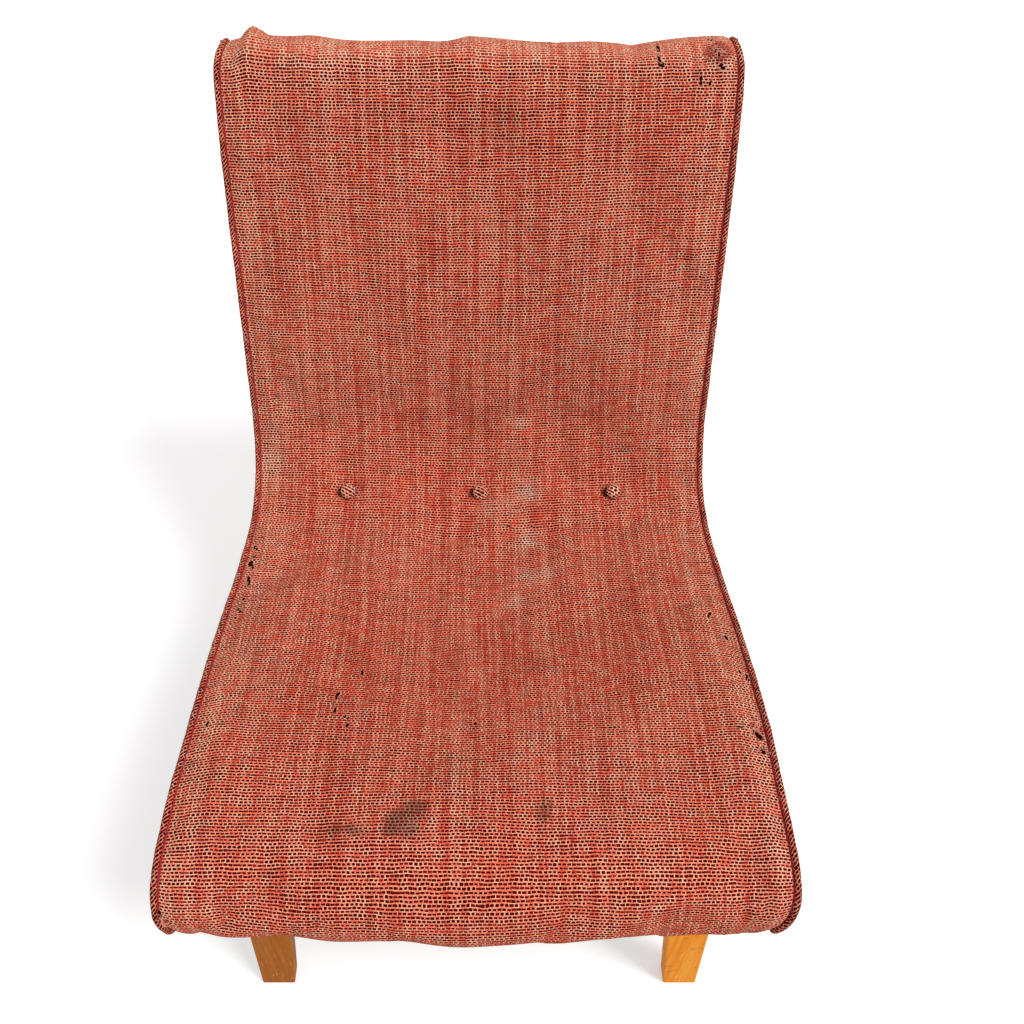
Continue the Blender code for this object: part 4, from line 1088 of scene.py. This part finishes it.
def make_padding():
    felt = fibre_finish("cotton_felt", srgb(150, 132, 96), srgb(236, 226, 196), 420.0)
    jute = fibre_finish("jute_hessian", srgb(120, 86, 46), srgb(190, 150, 96), 900.0, 0.0032)
    lengths = {
        "seat": np.linspace(PAD_START_S, BUTTON_S - GAP / 2, 110),
        "back": np.linspace(BUTTON_S + GAP / 2, REAR_S, 100),
    }
    sprung = {name: s[(s >= SEAT_S) & (s <= ROLL_S)] for name, s in lengths.items()}

    def top(u, s):
        return PAD_TOP - crown(u, s) - np.minimum(relief(u, s), 0.0) + SETTLE_LIMIT / 2

    def bottom(u, s):
        return PAD_BOTTOM + spring_hang(s) * dish(u)

    for name, (fill, spring_count) in PADS.items():
        pad = add_piece(slab(f"{name}_pad_felt", lengths[name], top, bottom), felt, f"{name}_pad")
        u, s = np.meshgrid(np.linspace(-1.0, 1.0, PAD_COLUMNS), sprung[name])
        points = on_profile(u, s, HESSIAN_DEPTH + spring_hang(s) * dish(u), PAD_EDGE_INSET)
        hessian = add_cloth(f"{name}_hessian", points, stacked(points[..., 0], s), jute)


LEGS = ("front_leg_left", "front_leg_right", "rear_leg_left", "rear_leg_right")
LEG_MIDDLE_Z = 0.2
OPENING_SIDE = 0.0035
OPENING_END = 0.0015
DUST_COVER_INSET = 0.0016
DUST_COVER_SAG = 0.0045
DUST_COVER_RIPPLE = 0.0006


def leg_openings():
    """Boxes of (x0, x1, y0, y1) round the legs where they meet the underside."""
    for name in LEGS:
        vertices = np.array([v.co for v in frame["nodes"][name].data.vertices])
        level = underside(float(vertices[vertices[:, 2] > LEG_MIDDLE_Z][:, 1].mean()))
        x, y, _ = vertices[vertices[:, 2] > level - 0.02].T
        yield x.min() - OPENING_SIDE, x.max() + OPENING_SIDE, y.min() - OPENING_END, y.max() + OPENING_END


def make_dust_cover():
    """Black cambric, sagging a little between its tacks, with an opening round each leg."""
    openings = list(leg_openings())
    front_y, rear_y = NOSE_START_Y + 2 * GAP, float(next(track(END_S - GAP))) - FRAME_INSET
    xs = sorted(set(np.linspace(-0.27, 0.27, 61)) | {value for box in openings for value in box[:2]})
    ys = sorted(set(np.linspace(front_y, rear_y, 64)) | {value for box in openings for value in box[2:]})
    x, y = np.meshgrid(np.array([-1.0, *xs, 1.0]), np.array([y for y in ys if front_y <= y <= rear_y]))
    x = np.where(np.abs(x) >= 1.0, np.sign(x) * (half_width(y) - DUST_COVER_INSET), x)
    sag = DUST_COVER_SAG * np.clip(1 - (x / 0.25) ** 2, 0, 1) * np.clip(1 - ((y + 0.10) / 0.24) ** 2, 0, 1)
    ripple = DUST_COVER_RIPPLE * np.sin(52 * x + 1) * np.sin(33 * y)
    points = stacked(x, y, underside(y) + GAP - sag + ripple * (sag > 0))
    cambric = fibre_finish("black_cambric", srgb(16, 15, 15), srgb(44, 42, 40), 700.0, 0.0011)
    cover = add_cloth("dust_cover", points[:, ::-1], points[:, ::-1, :2], cambric)
    cut = bmesh.new()
    cut.from_mesh(cover.data)
    middles = {face: face.calc_center_median() for face in cut.faces}
    inside = [
        face for face, middle in middles.items()
        if any(x0 < middle.x < x1 and y0 < middle.y < y1 for x0, x1, y0, y1 in openings)
    ]
    bmesh.ops.delete(cut, geom=inside, context="FACES")
    cut.to_mesh(cover.data)
    cut.free()


# Loose yarns: (column, row, strands, length in metres)
FRAYED = (
    (757, 728, 11, 0.012), (763, 750, 5, 0.009), (180, 759, 7, 0.007), (160, 920, 12, 0.009),
    (438, 294, 2, 0.008), (378, 403, 2, 0.007), (337, 700, 3, 0.006), (250, 568, 3, 0.006),
    (476, 724, 2, 0.005), (658, 55, 5, 0.008), (720, 50, 5, 0.008), (746, 677, 3, 0.006),
    (240, 555, 4, 0.006),
)
STRAND_RADIUS = 0.00032
STRAND_STEPS = 6
SCATTER_PIXELS = 4


def make_loose_yarns(spots, material):
    """Short frayed ends that stand up round the holes and tears."""
    chance = random.Random(7)
    curve = bpy.data.curves.new("loose_yarns", "CURVE")
    curve.dimensions = "3D"
    curve.bevel_depth = STRAND_RADIUS
    curve.bevel_resolution = 1
    curve.use_fill_caps = True
    normals = normals_of(spots.points)
    for column, row, strands, length in FRAYED:
        for _ in range(strands):
            at = spots.nearest(*(at + chance.uniform(-SCATTER_PIXELS, SCATTER_PIXELS) for at in (column, row)))
            root = Vector(spots.points[at])
            normal = Vector(normals[at])
            lean = Vector((chance.uniform(-1, 1), chance.uniform(-1, 1), chance.uniform(-0.4, 0.4)))
            lean -= normal * lean.dot(normal)
            lean.normalize()
            reach = length * chance.uniform(0.6, 1.2)
            rise = reach * chance.uniform(0.15, 0.35)
            spline = curve.splines.new("POLY")
            spline.points.add(STRAND_STEPS)
            for number, point in enumerate(spline.points):
                t = number / STRAND_STEPS
                curl = lean.cross(normal) * math.sin(3.0 * t) * reach * 0.25
                up = rise * math.sin(math.pi * min(t * 1.15, 1.0)) + STRAND_RADIUS
                place = root + lean * reach * t + normal * up + curl
                point.co = (*place, 1.0)
                point.radius = 1.0 - 0.5 * t
    return add_piece(curve, material)


def yarn_finish():
    shader = Shader("loose_yarn")
    place = shader.position()
    colour = shader.colours(shader.noise(place, 120.0, 3.0), (0.35, SALMON), (0.6, CREAM))
    shader.set(Base_Color=colour, Roughness=0.9)
    shader.bump(shader.noise(place, 2500.0, 2.0), 0.0001)
    return shader.material


def dress_nodes():
    """Gives every CAD node that stays in view the finish of its slot."""
    blond = (srgb(230, 130, 22), srgb(244, 152, 34), srgb(248, 168, 50))
    sawn = (srgb(124, 92, 60), srgb(170, 134, 92), srgb(204, 172, 128))
    finishes = {
        "blond_wood": wood_finish("blond_varnished_wood", *blond, roughness=0.50, worn=True),
        "frame_wood": wood_finish("sawn_frame_wood", *sawn, roughness=0.8, worn=False),
        "spring_steel": steel_finish("drawn_spring_steel", srgb(120, 118, 116), 0.6),
        "bolt_steel": steel_finish("zinc_bolt_steel", srgb(186, 184, 180), 0.3),
    }
    slots = {part["node"]: part["material_slot"] for part in frame["record"]["subparts"]}
    for name, node in frame["nodes"].items():
        if slots.get(name) in finishes:
            node.data.materials.clear()
            node.data.materials.append(finishes[slots[name]])


# Studio
FLOOR_REACH = 30.0
FLOOR_GLOW = 0.42
WORLD_LIGHT = 0.62
KEY_LIGHT = 1.7
KEY_LIGHT_PLACE = (1.6, -1.0, 3.0)
KEY_LIGHT_TARGET = (0.0, 0.0, 0.4)
KEY_LIGHT_SIZE = 18.0


def add_floor():
    """A pale floor that reads as white to the camera and still takes the chair's shadow."""
    shader = Shader("pale_floor")
    rays = ("Is Camera Ray", "Is Glossy Ray", "Is Transmission Ray")
    camera, glossy, transmission = (shader.value(ray, "ShaderNodeLightPath", {}) for ray in rays)
    seen = shader.math("MAXIMUM", camera, shader.math("MAXIMUM", glossy, transmission))
    shader.set(Base_Color=(0.80, 0.80, 0.80, 1.0), Roughness=0.9)
    shader.set(Emission_Color=(1.0, 1.0, 1.0, 1.0), Emission_Strength=seen * FLOOR_GLOW)
    mesh = bpy.data.meshes.new("floor")
    corners = [(x * FLOOR_REACH, y * FLOOR_REACH, 0) for x, y in ((-1, -1), (1, -1), (1, 1), (-1, 1))]
    mesh.from_pydata(corners, [], [(0, 1, 2, 3)])
    mesh.materials.append(shader.material)
    linked("floor", mesh)


def add_lights():
    """An even white world, which the camera sees as plain white, and one soft sun."""
    world = bpy.data.worlds.new("studio")
    bpy.context.scene.world = world
    world.use_nodes = True
    tree = world.node_tree
    path = tree.nodes.new("ShaderNodeLightPath")
    strength = tree.nodes.new("ShaderNodeMapRange")
    strength.inputs["To Min"].default_value = WORLD_LIGHT
    strength.inputs["To Max"].default_value = 1.0
    tree.links.new(path.outputs["Is Camera Ray"], strength.inputs["Value"])
    sky = tree.nodes["Background"].inputs
    sky["Color"].default_value = (1.0, 1.0, 1.0, 1.0)
    tree.links.new(strength.outputs["Result"], sky["Strength"])
    key = linked("key_light", bpy.data.lights.new("key_light", "SUN"))
    key.data.energy = KEY_LIGHT
    key.data.angle = math.radians(KEY_LIGHT_SIZE)
    key.location = KEY_LIGHT_PLACE
    aim = Vector(KEY_LIGHT_TARGET) - Vector(KEY_LIGHT_PLACE)
    key.rotation_euler = aim.to_track_quat("-Z", "Y").to_euler()


add_camera()
add_lights()
add_floor()
front_cover, cover_spots = make_cover()
yarns = make_loose_yarns(cover_spots, yarn_finish())
welt = woven_finish("bias_welt_weave", gap_size=0.05, lightness=0.02, turned=45.0)
# The borders and back: the weave a little darker, as painted shade, and grimier
border_weave = woven_finish("border_weave", lightness=-0.03, dullness=0.1)
button_weave = woven_finish("button_weave", gap_size=0.02, lightness=0.28, turned=30.0)
for side_name, side in (("left", -1.0), ("right", 1.0)):
    make_piping(side_name, side, welt)
    make_border(side_name, side, border_weave)
make_back_cover(border_weave)
make_buttons(button_weave)
make_padding()
make_dust_cover()
dress_nodes()

bpy.context.scene.view_settings.view_transform = "Standard"
